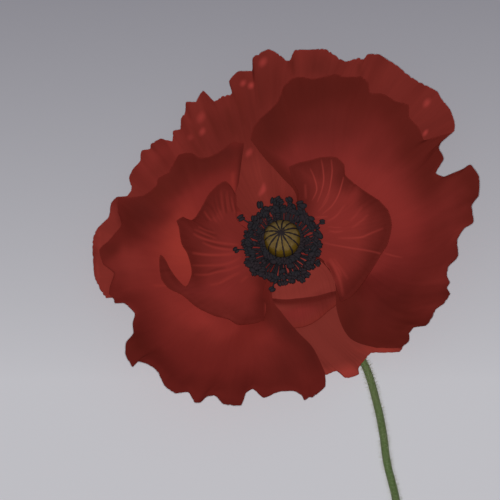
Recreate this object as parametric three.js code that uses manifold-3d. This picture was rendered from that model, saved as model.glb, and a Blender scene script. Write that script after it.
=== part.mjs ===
// Poppy bloom, face up, on a cut stem that bends under it and lies along the surface.
// Millimetres, +Z up, origin under the middle of the whole flower.

import * as THREE from "three";
import { mergeVertices } from "three/addons/utils/BufferGeometryUtils.js";
import Module from "manifold-3d";

const wasm = await Module();
wasm.setup();

// Driving sizes of the flower
const BLOOM_WIDTH = 93;
const PETAL_THICKNESS = 0.62;
const STEM_RADIUS = 1.0;
const NECK_BEND_RADIUS = 3.2;
const RECEPTACLE_RADIUS = 2.2;
const RECEPTACLE_BASE = 4.2;
const RECEPTACLE_TOP = 8.1;
const PETAL_ROOT_RADIUS = 2.5;
const COLLAR_BOTTOM = 8.25;
const COLLAR_TOP = 10.3;
const COLLAR_RADIUS = 3.8;
const COLLAR_HOLE = 2.7;
const CAPSULE_BASE = 8.4;
const CAPSULE_WIDEST = 15.4;
const CAPSULE_TOP = 20.2;
const CAPSULE_RADIUS = 4.35;
const RAY_COUNT = 13;
const RAY_HEIGHT = 0.3;
const FILAMENT_RADIUS = 0.27;
const ANTHER_LENGTH = 1.9;
const ANTHER_WIDTH = 1.7;
const STAMEN_SIDES = 5;
const STAMEN_SEED = 7;

// Outlines are measured on the picture and set out at real size: the flower's axis
// meets the surface at AXIS_PX, and the picture looks down on the bloom at VIEW_ANGLE
const BLOOM_WIDTH_PX = 387;
const AXIS_PX = [282, 260.7];
const VIEW_ANGLE = THREE.MathUtils.degToRad(70);
const MM_PER_PX = BLOOM_WIDTH / BLOOM_WIDTH_PX;

// How a petal's height behaves past its rim radius, near its side edges, and how much
// of its thickness shows where it stands steeply
const FLARE_PAST_RIM = 0.6;
const STILL_EDGE = 0.14;
const FRILL_DEPTH = 6;
const STEEPEST_UPRIGHT = 0.35;

const RADIANS = THREE.MathUtils.degToRad(1);
const { smoothstep, clamp, lerp } = THREE.MathUtils;

// Where a point of the picture lies on a surface of the height heightAt(x, y)
function onSurface([px, py], heightAt) {
  const x = (px - AXIS_PX[0]) * MM_PER_PX;
  const across = (AXIS_PX[1] - py) * MM_PER_PX;
  let y = across / Math.sin(VIEW_ANGLE);
  for (let pass = 0; pass < 12; pass += 1) {
    y = (across - heightAt(x, y) * Math.cos(VIEW_ANGLE)) / Math.sin(VIEW_ANGLE);
  }
  return new THREE.Vector2(x, y);
}

// Share of a sector: 1 within half its width of its middle, falling to 0 over the fade
function sector(angle, { middle, halfWidth, fade }) {
  const turn = Math.abs(((angle - middle + 540) % 360) - 180);
  return 1 - smoothstep(turn, halfWidth, halfWidth + fade);
}

// Height of a saucer-shaped petal over the surface, with sectors where it sags to rest
function saucerHeight(x, y, { root, belly, bellyRadius, rim, rimRadius, rise, rests }) {
  const r = Math.hypot(x, y);
  const angle = Math.atan2(y, x) / RADIANS;
  let low = belly;
  for (const rest of rests) {
    low = lerp(low, rest.depth, sector(angle, rest));
  }
  const inward = lerp(root, low, smoothstep(r, PETAL_ROOT_RADIUS, bellyRadius));
  const climb = clamp((r - bellyRadius) / (rimRadius - bellyRadius), 0, 1.4) ** rise;
  const beyond = Math.max(climb - 1, 0) * FLARE_PAST_RIM;
  return inward + (rim - low) * Math.min(climb, 1) + (rim - belly) * beyond;
}

// One petal: its root arc, two side edges and margin bound a patch that is laid out
// in rows from root to margin; every row's height comes from the saucer and the ruffle
function petalGeometry(petal) {
  const still = (x, y) => saucerHeight(x, y, petal.saucer);
  const end = petal.margin.length - 1;
  const margin = petal.margin.map((point, i) => {
    const s = i / end;
    return onSurface(point, (x, y) => still(x, y) + ruffle(petal, s, 1));
  });
  const rootAt = (s) => {
    const angle = lerp(petal.rootFrom, petal.rootTo, s) * RADIANS;
    return new THREE.Vector2(Math.cos(angle), Math.sin(angle)).multiplyScalar(PETAL_ROOT_RADIUS);
  };
  const side = (points, start, end) => {
    const placed = points.map((point) => onSurface(point, still));
    return new THREE.SplineCurve([start, ...placed, end]);
  };
  const calm = calmed(margin);
  const first = side(petal.firstSide, rootAt(0), margin[0]);
  const last = side(petal.lastSide, rootAt(1), margin[end]);
  const rows = petal.rows.map(([t, step]) => {
    const row = [];
    for (let i = 0; i <= end; i += 1) {
      const kept = i === end || (i % step === 0 && end - i >= step / 2);
      if (kept) {
        const s = i / end;
        const a = first.getPointAt(t);
        const b = last.getPointAt(t);
        const aim = calm[i].clone().lerp(margin[i], t ** FRILL_DEPTH);
        const point = rootAt(s).multiplyScalar(1 - t).addScaledVector(aim, t);
        point.addScaledVector(a, 1 - s).addScaledVector(b, s);
        point.addScaledVector(rootAt(0), -(1 - s) * (1 - t)).addScaledVector(rootAt(1), -s * (1 - t));
        point.addScaledVector(margin[0], -(1 - s) * t).addScaledVector(margin[end], -s * t);
        const height = Math.max(0, still(point.x, point.y) + ruffle(petal, s, t));
        row.push({ s, place: new THREE.Vector3(point.x, point.y, height) });
      }
    }
    return row;
  });
  const blade = bladeFromRows(rows);
  return petal.bay ? cutBay(blade, petal.bay, still) : blade;
}

// The margin with its frills smoothed away, which the inner rows aim for
function calmed(margin) {
  const weights = [1, 2, 3, 2, 1];
  return margin.map((point, i) => {
    const reach = Math.min(2, i, margin.length - 1 - i);
    const sum = new THREE.Vector2();
    let total = 0;
    for (let k = -reach; k <= reach; k += 1) {
      sum.addScaledVector(margin[i + k], weights[k + 2]);
      total += weights[k + 2];
    }
    return sum.divideScalar(total);
  });
}

// A bay in the margin, too deep for the rows to follow, is cut out of the blade
function cutBay(blade, bay, still) {
  const outline = bay.map((point) => onSurface(point, still));
  const prism = new THREE.ExtrudeGeometry(new THREE.Shape(outline), { depth: 40, bevelEnabled: false });
  return geometryOf(solidOf(blade).subtract(solidOf(prism)));
}

// Waves that grow towards the margin and die out at the side edges, and the step
// of a petal that is folded across; s runs along the margin, t from root to margin
function ruffle({ waves, crease }, s, t) {
  const edge = clamp(Math.min(s, 1 - s) / STILL_EDGE, 0, 1);
  let lift = 0;
  for (const { count, height, phase, grow } of waves) {
    lift += height * Math.sin(2 * Math.PI * (count * s + phase)) * t ** grow * edge;
  }
  if (crease) {
    const line = lerp(crease.from, crease.to, s ** 2);
    const swell = smoothstep(t, line - crease.run, line) - smoothstep(t, line, line + crease.width);
    lift += crease.lift * swell * edge;
  }
  return lift;
}

// Stitches two neighbouring rows of any point counts into triangles
function stitch(lower, upper, triangles) {
  let i = 0;
  let j = 0;
  while (i < lower.length - 1 || j < upper.length - 1) {
    const nextLow = i < lower.length - 1 ? lower[i + 1].s : Infinity;
    const nextUp = j < upper.length - 1 ? upper[j + 1].s : Infinity;
    if (nextLow < nextUp) {
      triangles.push([lower[i].id, upper[j].id, lower[i + 1].id]);
      i += 1;
    } else {
      triangles.push([lower[i].id, upper[j].id, upper[j + 1].id]);
      j += 1;
    }
  }
}

// A closed blade: the rows are its underside, the upper side is the same triangles
// lifted by the thickness along the slope, and a wall runs round the outline
function bladeFromRows(rows) {
  const under = rows.flat();
  under.forEach((point, index) => {
    point.id = index;
  });
  const triangles = [];
  for (let k = 0; k < rows.length - 1; k += 1) {
    stitch(rows[k], rows[k + 1], triangles);
  }
  const area = triangles.reduce((sum, [a, b, c]) => {
    const [p, q, r] = [a, b, c].map((id) => under[id].place);
    return sum + (q.x - p.x) * (r.y - p.y) - (q.y - p.y) * (r.x - p.x);
  }, 0);
  const normals = under.map(() => new THREE.Vector3());
  for (const triangle of triangles) {
    if (area < 0) {
      triangle.reverse();
    }
    const [p, q, r] = triangle.map((id) => under[id].place);
    const normal = q.clone().sub(p).cross(r.clone().sub(p));
    triangle.forEach((id) => normals[id].add(normal));
  }
  const positions = under.map(({ place }) => place.toArray()).flat();
  under.forEach(({ place }, id) => {
    const upright = clamp(normals[id].normalize().z, STEEPEST_UPRIGHT, 1);
    positions.push(place.x, place.y, place.z + PETAL_THICKNESS / upright);
  });
  const count = under.length;
  const rim = [
    ...rows[0],
    ...rows.slice(1, -1).map((row) => row[row.length - 1]),
    ...[...rows[rows.length - 1]].reverse(),
    ...rows.slice(1, -1).map((row) => row[0]).reverse(),
  ].map(({ id }) => id);
  if (area < 0) {
    rim.reverse();
  }
  const faces = [];
  for (const [a, b, c] of triangles) {
    faces.push(a, c, b, a + count, b + count, c + count);
  }
  const turn = rimRunsRound(rim, under) ? 1 : -1;
  for (let k = 0; k < rim.length; k += 1) {
    const a = rim[k];
    const b = rim[(k + turn + rim.length) % rim.length];
    faces.push(a, b, b + count, a, b + count, a + count);
  }
  const geometry = new THREE.BufferGeometry();
  geometry.setAttribute("position", new THREE.Float32BufferAttribute(positions, 3));
  geometry.setIndex(faces);
  return geometry;
}

// True when the outline is listed anticlockwise seen from above
function rimRunsRound(rim, points) {
  let doubled = 0;
  for (let k = 0; k < rim.length; k += 1) {
    const p = points[rim[k]].place;
    const q = points[rim[(k + 1) % rim.length]].place;
    doubled += p.x * q.y - q.x * p.y;
  }
  return doubled > 0;
}

// Rows of a petal from root to margin: how far out, and every how many margin points
const LARGE_ROWS = [
  [0, 6], [0.1, 6], [0.22, 6], [0.34, 3], [0.42, 3], [0.5, 3], [0.6, 3], [0.72, 2], [0.83, 1],
  [0.92, 1], [1, 1],
];
const SMALL_ROWS = [[0, 4], [0.15, 4], [0.32, 2], [0.5, 2], [0.68, 2], [0.84, 1], [1, 1]];

const PETALS = {
  petal_rear_upper: {
    colour: 0x6b241f,
    rootFrom: 32,
    rootTo: 196,
    firstSide: [[326, 222], [385, 180]],
    lastSide: [[220, 276], [160, 298]],
    margin: [
      [451, 133], [454, 124], [447, 105], [438, 93], [422, 85], [407, 75], [396, 64], [380, 55],
      [368, 54], [358, 57], [345, 61], [337, 56], [326, 50], [304, 49], [293, 51], [289, 60],
      [281, 56], [270, 49], [253, 57], [251, 70], [237, 71], [230, 81], [231, 94], [223, 96],
      [214, 102], [204, 92], [195, 102], [186, 102], [182, 115], [180, 127], [174, 131],
      [172, 140], [160, 138], [151, 146], [141, 151], [134, 164], [130, 178], [133, 189],
      [120, 197], [111, 205], [110, 214], [101, 223], [94, 236], [92, 252], [94, 271],
      [99, 286], [106, 298], [118, 306],
    ],
    rows: LARGE_ROWS,
    saucer: {
      root: 4.6, belly: 1.4, bellyRadius: 22, rim: 8.2, rimRadius: 47, rise: 1.5,
      rests: [{ middle: 78, halfWidth: 9, fade: 16, depth: -0.5 }, { middle: 150, halfWidth: 9, fade: 16, depth: -0.5 }],
    },
    waves: [{ count: 13, height: 1.1, phase: 0.1, grow: 5 }, { count: 5.5, height: 0.8, phase: 0.4, grow: 3 }],
  },
  petal_rear_lower: {
    colour: 0x7a2d27,
    rootFrom: 252,
    rootTo: 334,
    firstSide: [[283, 290], [296, 330]],
    lastSide: [[322, 276], [352, 308], [386, 330]],
    margin: [
      [312, 372], [325, 376], [336, 371], [345, 378], [352, 377], [358, 374], [358, 367],
      [364, 359], [372, 352], [386, 351], [400, 350], [408, 344], [410, 336],
    ],
    rows: SMALL_ROWS,
    saucer: { root: 4.6, belly: 2.75, bellyRadius: 10, rim: 5.0, rimRadius: 40, rise: 2.2, rests: [] },
    waves: [{ count: 2.5, height: 0.5, phase: 0.2, grow: 4 }],
  },
  petal_lower_small: {
    colour: 0x7c2d27,
    rootFrom: 262,
    rootTo: 342,
    firstSide: [[272, 290]],
    lastSide: [[325, 265]],
    margin: [
      [272, 318], [279, 324], [287, 327], [295, 328], [303, 327], [311, 324], [319, 319],
      [327, 312], [335, 306], [343, 299],
    ],
    rows: [[0, 3], [0.2, 3], [0.4, 2], [0.55, 1], [0.66, 1], [0.74, 1], [0.86, 1], [1, 1]],
    saucer: { root: 5.5, belly: 4.05, bellyRadius: 10, rim: 4.0, rimRadius: 20, rise: 1, rests: [] },
    waves: [],
    crease: { from: 0.6, to: 0.78, run: 0.45, width: 0.08, lift: 1.1 },
  },
  petal_right: {
    colour: 0x762623,
    rootFrom: -22,
    rootTo: 70,
    firstSide: [[319, 260], [334, 280], [337, 312], [350, 338]],
    lastSide: [[297, 199], [281, 176], [263, 156]],
    margin: [
      [376, 348], [400, 348], [409, 341], [410, 332], [424, 325], [431, 320], [436, 308],
      [443, 304], [450, 293], [447, 286], [446, 276], [448, 266], [457, 257], [456, 239],
      [464, 227], [473, 219], [471, 204], [478, 194], [478, 177], [469, 165], [454, 171],
      [442, 177], [436, 172], [443, 159], [438, 148], [445, 137], [431, 138], [423, 140],
      [418, 127], [409, 118], [408, 105], [396, 102], [383, 94], [370, 93], [368, 83],
      [361, 77], [344, 77], [336, 74], [324, 77], [313, 79], [302, 77], [293, 78], [287, 86],
      [281, 94], [272, 110], [262, 120], [253, 128], [251, 139],
    ],
    rows: LARGE_ROWS,
    saucer: {
      root: 6.4, belly: 5.1, bellyRadius: 21, rim: 13.2, rimRadius: 44, rise: 1.6,
      rests: [{ middle: 6, halfWidth: 8, fade: 16, depth: -0.9 }],
    },
    waves: [{ count: 12, height: 1.2, phase: 0.3, grow: 5 }, { count: 4.5, height: 1.0, phase: 0.1, grow: 3 }],
  },
  petal_left: {
    colour: 0x752424,
    rootFrom: 140,
    rootTo: 254,
    firstSide: [[237, 206], [239, 180]],
    lastSide: [[272, 296], [282, 313], [296, 330], [312, 348]],
    margin: [
      [243, 147], [233, 142], [221, 151], [209, 156], [200, 158], [191, 153], [179, 155],
      [174, 167], [167, 176], [158, 181], [155, 189], [144, 197], [129, 199], [118, 199],
      [119, 213], [121, 227], [110, 238], [101, 250], [103, 262], [115, 271], [111, 284],
      [109, 295], [116, 303], [124, 303], [135, 313], [133, 323], [134, 333], [126, 343],
      [126, 353], [133, 365], [138, 361], [147, 364], [156, 369], [161, 378], [165, 386],
      [176, 394], [188, 391], [194, 402], [201, 402], [208, 396], [216, 396], [224, 404],
      [240, 404], [246, 392], [253, 389], [262, 397], [279, 390], [292, 390], [304, 399],
      [312, 397], [317, 391], [325, 383], [325, 372],
    ],
    rows: LARGE_ROWS,
    saucer: {
      root: 6.4, belly: 5.1, bellyRadius: 21, rim: 13.0, rimRadius: 44, rise: 1.6,
      rests: [{ middle: 227, halfWidth: 8, fade: 20, depth: -0.9 }],
    },
    waves: [{ count: 13, height: 1.2, phase: 0.6, grow: 5 }, { count: 4.5, height: 1.0, phase: 0.7, grow: 3 }],
  },
  petal_inner_right: {
    colour: 0x7d2a25,
    rootFrom: -24,
    rootTo: 66,
    firstSide: [[320, 258], [333, 278]],
    lastSide: [[299, 200], [293, 182]],
    margin: [
      [340, 302], [350, 297], [360, 286], [366, 277], [371, 270], [377, 260], [382, 252],
      [386, 246], [389, 237], [391, 226], [390, 218], [387, 210], [379, 201], [370, 195],
      [361, 189], [352, 182], [345, 175], [344, 165], [337, 158], [329, 157], [319, 158],
      [308, 161], [298, 163], [289, 167],
    ],
    rows: SMALL_ROWS,
    saucer: { root: 7.38, belly: 7.0, bellyRadius: 9, rim: 11.8, rimRadius: 26, rise: 1.6, rests: [] },
    waves: [{ count: 2.5, height: 0.5, phase: 0.15, grow: 3 }],
  },
  petal_inner_left: {
    colour: 0x712420,
    rootFrom: 150,
    rootTo: 242,
    firstSide: [[243, 225], [237, 211], [236, 196]],
    lastSide: [[263, 290], [266, 306]],
    margin: [
      [230, 185], [225, 181], [218, 185], [209, 194], [203, 205], [196, 217], [190, 221],
      [183, 217], [176, 222], [169, 236], [163, 248], [160, 258], [160, 268], [162, 279],
      [169, 288], [183, 295], [191, 302], [199, 308], [214, 315], [229, 319], [237, 324],
      [246, 324], [254, 323], [264, 320],
    ],
    bay: [
      [179, 227], [182, 244], [188, 255], [192, 272], [188, 285], [183, 285], [172, 272],
      [163, 257], [150, 250], [160, 222], [172, 214],
    ],
    rows: SMALL_ROWS,
    saucer: { root: 7.38, belly: 7.0, bellyRadius: 9, rim: 11.2, rimRadius: 26, rise: 1.6, rests: [] },
    waves: [{ count: 1.5, height: 0.5, phase: 0.6, grow: 3 }],
  },
};

// A closed solid of a geometry, with its repeated corners joined
function solidOf(geometry) {
  const bare = geometry.clone();
  bare.deleteAttribute("normal");
  bare.deleteAttribute("uv");
  const merged = mergeVertices(bare, 1e-4);
  const vertProperties = new Float32Array(merged.attributes.position.array);
  const triVerts = new Uint32Array(merged.index.array);
  return new wasm.Manifold(new wasm.Mesh({ numProp: 3, vertProperties, triVerts }));
}

function geometryOf(solid) {
  const { vertProperties, triVerts } = solid.getMesh();
  const geometry = new THREE.BufferGeometry();
  geometry.setAttribute("position", new THREE.Float32BufferAttribute(vertProperties, 3));
  geometry.setIndex(Array.from(triVerts));
  return geometry;
}

// A repeatable draw of numbers between 0 and 1
function seededDraw(seed) {
  let state = seed;
  return () => {
    state = (state + 0x6d2b79f5) | 0;
    let mixed = Math.imul(state ^ (state >>> 15), 1 | state);
    mixed = (mixed + Math.imul(mixed ^ (mixed >>> 7), 61 | mixed)) ^ mixed;
    return ((mixed ^ (mixed >>> 14)) >>> 0) / 4294967296;
  };
}

// One stamen from its foot to the middle of its head: a slim filament that ends
// in a swollen anther
function stamen(foot, head) {
  const along = head.clone().sub(foot);
  const length = along.length();
  const profile = [
    [0, 0], [FILAMENT_RADIUS, 0], [FILAMENT_RADIUS * 0.8, length - ANTHER_LENGTH / 2],
    [ANTHER_WIDTH / 2, length - 0.1], [ANTHER_WIDTH * 0.36, length + 0.34 * ANTHER_LENGTH],
    [0, length + ANTHER_LENGTH / 2],
  ];
  const rod = new THREE.LatheGeometry(profile.map(([x, y]) => new THREE.Vector2(x, y)), STAMEN_SIDES);
  rod.applyQuaternion(new THREE.Quaternion().setFromUnitVectors(new THREE.Vector3(0, 1, 0), along.normalize()));
  rod.translate(foot.x, foot.y, foot.z);
  return rod;
}

// Rings of stamens, innermost first: how many, how far out, how high their heads
// stand, how high they leave the collar, and how much each of these may vary
const STAMEN_RINGS = [
  { count: 15, reach: 5.8, head: 12.6, foot: 9.9, spread: 0.2, sway: 0.3 },
  { count: 21, reach: 7.7, head: 11.1, foot: 9.28, spread: 0.25, sway: 0.3 },
  { count: 27, reach: 9.7, head: 9.8, foot: 8.66, spread: 0.5, sway: 0.3 },
];

// Stamens stand in rings on one collar round the capsule's foot
function stamenGeometry() {
  const draw = seededDraw(STAMEN_SEED);
  const either = () => 2 * draw() - 1;
  const collar = new THREE.LatheGeometry(
    [
      [COLLAR_HOLE, COLLAR_BOTTOM], [COLLAR_RADIUS, COLLAR_BOTTOM], [COLLAR_RADIUS, COLLAR_TOP],
      [COLLAR_HOLE, COLLAR_TOP], [COLLAR_HOLE, COLLAR_BOTTOM],
    ].map(([x, y]) => new THREE.Vector2(x, y)),
    12,
  );
  collar.rotateX(Math.PI / 2);
  let body = solidOf(collar);
  for (const ring of STAMEN_RINGS) {
    for (let k = 0; k < ring.count; k += 1) {
      const turn = (2 * Math.PI * (k + 0.37 + 0.1 * either())) / ring.count;
      const reach = ring.reach + ring.spread * either();
      const height = ring.head + ring.sway * either();
      const at = (radius, z) => new THREE.Vector3(radius * Math.cos(turn), radius * Math.sin(turn), z);
      body = body.add(solidOf(stamen(at(COLLAR_RADIUS - 0.6, ring.foot), at(reach, height))));
    }
  }
  return geometryOf(body);
}

// The capsule: an egg-shaped body under a low cap, its stigma rays raised from it
function capsuleGeometry() {
  const cap = CAPSULE_TOP - CAPSULE_WIDEST;
  const profile = [
    [1.5, CAPSULE_BASE], [1.8, CAPSULE_BASE + 0.5], [2.4, CAPSULE_BASE + 2], [3.7, CAPSULE_BASE + 4],
    [4.25, CAPSULE_WIDEST - 1], [CAPSULE_RADIUS, CAPSULE_WIDEST], [4.2, CAPSULE_WIDEST + 0.28 * cap],
    [3.6, CAPSULE_WIDEST + 0.56 * cap], [2.5, CAPSULE_WIDEST + 0.8 * cap], [1.2, CAPSULE_WIDEST + 0.94 * cap],
  ];
  const around = RAY_COUNT * 3;
  const positions = [];
  profile.forEach(([radius, z], ring) => {
    const onCap = z > CAPSULE_WIDEST ? 1 : 0;
    for (let k = 0; k < around; k += 1) {
      const turn = (2 * Math.PI * k) / around;
      const ray = k % 3 === 0 ? RAY_HEIGHT * onCap : 0;
      const out = radius + ray * (ring < profile.length - 1 ? 0.6 : 0.3);
      positions.push(out * Math.cos(turn), out * Math.sin(turn), z + ray * 0.8);
    }
  });
  const top = positions.length / 3;
  positions.push(0, 0, CAPSULE_TOP);
  positions.push(0, 0, CAPSULE_BASE);
  const faces = [];
  for (let ring = 0; ring < profile.length - 1; ring += 1) {
    for (let k = 0; k < around; k += 1) {
      const a = ring * around + k;
      const b = ring * around + ((k + 1) % around);
      faces.push(a, b, b + around, a, b + around, a + around);
    }
  }
  for (let k = 0; k < around; k += 1) {
    const next = (k + 1) % around;
    faces.push((profile.length - 1) * around + k, (profile.length - 1) * around + next, top);
    faces.push(next, k, top + 1);
  }
  const geometry = new THREE.BufferGeometry();
  geometry.setAttribute("position", new THREE.Float32BufferAttribute(positions, 3));
  geometry.setIndex(faces);
  return geometry;
}

// The stem: down from the receptacle, round the neck, then along the surface
const STEM_ROUTE_PX = [[364, 360], [379, 406], [388, 462]];
const STEM_END = [30.5, -96];

function stemGeometry() {
  const along = STEM_ROUTE_PX.map((point) => onSurface(point, () => STEM_RADIUS));
  const heading = along[0].clone().normalize();
  const at = (distance, z) => new THREE.Vector3(heading.x * distance, heading.y * distance, z);
  const bend = [0, 0.25, 0.5, 0.75, 1].map((share) => {
    const angle = (share * Math.PI) / 2;
    return at(NECK_BEND_RADIUS * (1 - Math.cos(angle)), RECEPTACLE_BASE - NECK_BEND_RADIUS * Math.sin(angle));
  });
  const route = new THREE.CatmullRomCurve3([
    at(0, RECEPTACLE_BASE + 1.2),
    ...bend,
    at(8, STEM_RADIUS),
    at(18, STEM_RADIUS),
    ...along.map(({ x, y }) => new THREE.Vector3(x, y, STEM_RADIUS)),
    new THREE.Vector3(STEM_END[0], STEM_END[1], STEM_RADIUS),
  ]);
  const ring = new THREE.Shape();
  const sides = 8;
  for (let k = 0; k < sides; k += 1) {
    const turn = (2 * Math.PI * (k + 0.5)) / sides;
    const corner = [STEM_RADIUS * Math.cos(turn), STEM_RADIUS * Math.sin(turn)];
    if (k === 0) {
      ring.moveTo(...corner);
    } else {
      ring.lineTo(...corner);
    }
  }
  ring.closePath();
  const tube = new THREE.ExtrudeGeometry(ring, { steps: 46, extrudePath: route, bevelEnabled: false });
  const head = new THREE.LatheGeometry(
    [
      [0, RECEPTACLE_BASE], [STEM_RADIUS + 0.3, RECEPTACLE_BASE], [RECEPTACLE_RADIUS, RECEPTACLE_BASE + 1.2],
      [RECEPTACLE_RADIUS, RECEPTACLE_TOP - 0.3], [RECEPTACLE_RADIUS - 0.3, RECEPTACLE_TOP], [0, RECEPTACLE_TOP],
    ].map(([x, y]) => new THREE.Vector2(x, y)),
    16,
  );
  head.rotateX(Math.PI / 2);
  return geometryOf(solidOf(head).add(solidOf(tube)));
}

function namedMesh(name, geometry, colour, roughness) {
  const material = new THREE.MeshStandardMaterial({ color: colour, roughness, metalness: 0 });
  const mesh = new THREE.Mesh(geometry, material);
  mesh.name = name;
  return mesh;
}

const flower = new THREE.Group();
for (const [name, petal] of Object.entries(PETALS)) {
  flower.add(namedMesh(name, petalGeometry(petal), petal.colour, 0.7));
}
flower.add(namedMesh("stamens", stamenGeometry(), 0x241f23, 0.85));
flower.add(namedMesh("capsule", capsuleGeometry(), 0x6b5a30, 0.6));
flower.add(namedMesh("stem", stemGeometry(), 0x50663c, 0.65));

// The flower is set so that the origin is under the middle of its whole box
const box = new THREE.Box3().setFromObject(flower, true);
const middle = box.getCenter(new THREE.Vector3());
flower.position.set(-middle.x, -middle.y, 0);

export default flower;
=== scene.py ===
"""Poppy flower: crinkled petals in their layers, a ring of dark stamens, a ribbed capsule and a hairy stem.

Each fine piece is set out from the same picture points as the solid that it stands for, so it keeps that
solid's form. Sizes are in millimetres until a mesh is made; heights are over the surface it lies on.
"""

from __future__ import annotations

import logging
import math
from collections.abc import Callable, Sequence
from dataclasses import dataclass, field
from enum import Enum

import bpy
import numpy as np
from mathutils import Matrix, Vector


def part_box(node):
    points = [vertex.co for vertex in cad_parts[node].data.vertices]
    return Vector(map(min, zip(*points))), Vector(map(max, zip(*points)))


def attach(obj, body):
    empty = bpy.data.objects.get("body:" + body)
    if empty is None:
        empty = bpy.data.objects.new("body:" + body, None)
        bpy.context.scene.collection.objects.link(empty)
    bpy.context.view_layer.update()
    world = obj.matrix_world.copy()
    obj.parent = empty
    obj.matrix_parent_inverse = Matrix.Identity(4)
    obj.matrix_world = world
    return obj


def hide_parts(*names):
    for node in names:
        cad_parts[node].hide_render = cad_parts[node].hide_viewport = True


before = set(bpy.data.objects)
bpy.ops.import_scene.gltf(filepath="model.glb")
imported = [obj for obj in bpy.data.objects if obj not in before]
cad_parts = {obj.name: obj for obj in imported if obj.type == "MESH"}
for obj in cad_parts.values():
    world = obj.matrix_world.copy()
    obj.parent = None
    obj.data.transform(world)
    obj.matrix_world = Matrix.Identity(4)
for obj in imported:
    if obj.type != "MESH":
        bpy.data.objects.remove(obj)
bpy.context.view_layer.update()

log = logging.getLogger("poppy")

MM = 0.001
BODY = "root"

MM_PER_PX = 93.0 / 387.0
AXIS_PX = (282.0, 260.7)
VIEW_ANGLE = math.radians(70.0)
LOW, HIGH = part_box("capsule")
AXIS = np.array([(LOW[0] + HIGH[0]) / 2, (LOW[1] + HIGH[1]) / 2, 0.0])
SETTLING_ROUNDS = 14
SHARP_TURN = math.radians(70.0)
STUDIO_LIGHT = 0.62
BRIGHTEST_PAINT = 0.9

PETAL_ROOT_RADIUS = 2.5
FLARE_PAST_RIM = 0.6
FLARE_SOFTNESS = 0.09
CONTACT_SOFTNESS = 0.3
STILL_EDGE = 0.14
FRILL_DEPTH = 9
ROW_SPREAD = 1.2
STEEPEST_UPRIGHT = 0.35
SCALLOP = 6.0
SCALLOP_SPREAD = (0.5, 1.5)
NOTCH_AIM_PX = (AXIS_PX[0], AXIS_PX[1] - 20.0)
CRINKLE_COUNTS = (13.0, 19.0, 27.0, 38.0)
CRINKLE_STILL_END = 0.06
THIN_FROM = 0.94
THIN_SIDE = 0.03
CUTTER_HEIGHTS = (-2.0, 40.0)
CLIMB_LIMIT = 1.4
WANDER_DEPTH = 6.0
BORDER_RAGGED = 1.0
RIM_STRENGTH = 0.85
EDGE_POINTS = 500
SIDE_POINTS = 240
STROKE_POINTS = 160
LOBE_THICKNESS = 0.62
LOBE_OFFSET = 0.48
LEAST_UPWARD = 0.08
HAIR_LEAN = 0.35

Array = np.ndarray
Face = tuple[int, ...]
HeightAt = Callable[[Array, Array], Array]
Colour = tuple[float, float, float]
Points = Sequence[tuple[float, float]]
Object = bpy.types.Object
Material = bpy.types.Material
Socket = bpy.types.NodeSocket


# Curves and surfaces


def smooth(value: Array, low: float | Array, high: float | Array) -> Array:
    """Eased share of the way from low to high, kept between 0 and 1."""
    share = np.clip((value - low) / (high - low), 0.0, 1.0)
    return share * share * (3.0 - 2.0 * share)


def on_surface(points: Points | Array, height_at: HeightAt) -> Array:
    """Finds where picture points lie on a surface seen from the photograph's angle.

    Args:
        points: Picture points, one to a row.
        height_at: Height of the surface over the plan, from arrays of x and y.

    Returns:
        Plan points round the flower's axis.
    """
    given = np.array(points, float)
    x = (given[:, 0] - AXIS_PX[0]) * MM_PER_PX
    across = (AXIS_PX[1] - given[:, 1]) * MM_PER_PX
    y = across / math.sin(VIEW_ANGLE)
    for _ in range(SETTLING_ROUNDS):
        y = (across - height_at(x, y) * math.cos(VIEW_ANGLE)) / math.sin(VIEW_ANGLE)
    return np.column_stack([x, y])


def spline(points: Sequence[Sequence[float]] | Array, count: int) -> Array:
    """Points of a Catmull-Rom curve through the given ones, evenly spread by index.

    Args:
        points: The points that the curve passes through.
        count: How many points to return.

    Returns:
        The curve's points, one to a row.
    """
    given = np.asarray(points, float)
    last = len(given) - 1
    place = np.linspace(0.0, last, count)
    start = np.minimum(place.astype(int), last - 1)
    f = (place - start)[:, None]
    a, b = given[start], given[start + 1]
    lead_in = (b - given[np.maximum(start - 1, 0)]) / 2
    lead_out = (given[np.minimum(start + 2, last)] - a) / 2
    cubic = (2 * a - 2 * b + lead_in + lead_out) * f**3
    return cubic + (3 * b - 3 * a - 2 * lead_in - lead_out) * f**2 + lead_in * f + a


def read_off(curve: Array, marks: Array, places: Array) -> Array:
    """Points of a polyline at the given places, where each of its own points has its mark."""
    return np.column_stack([np.interp(places, marks, column) for column in curve.T])


def run_along(curve: Array) -> Array:
    """Length of a polyline up to each of its points."""
    return np.concatenate([[0.0], np.cumsum(np.linalg.norm(np.diff(curve, axis=0), axis=1))])


def at_shares(curve: Array, shares: Array) -> Array:
    """Points at the given shares, from 0 to 1, of a polyline's length."""
    run = run_along(curve)
    return read_off(curve, run, shares * run[-1])


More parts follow.
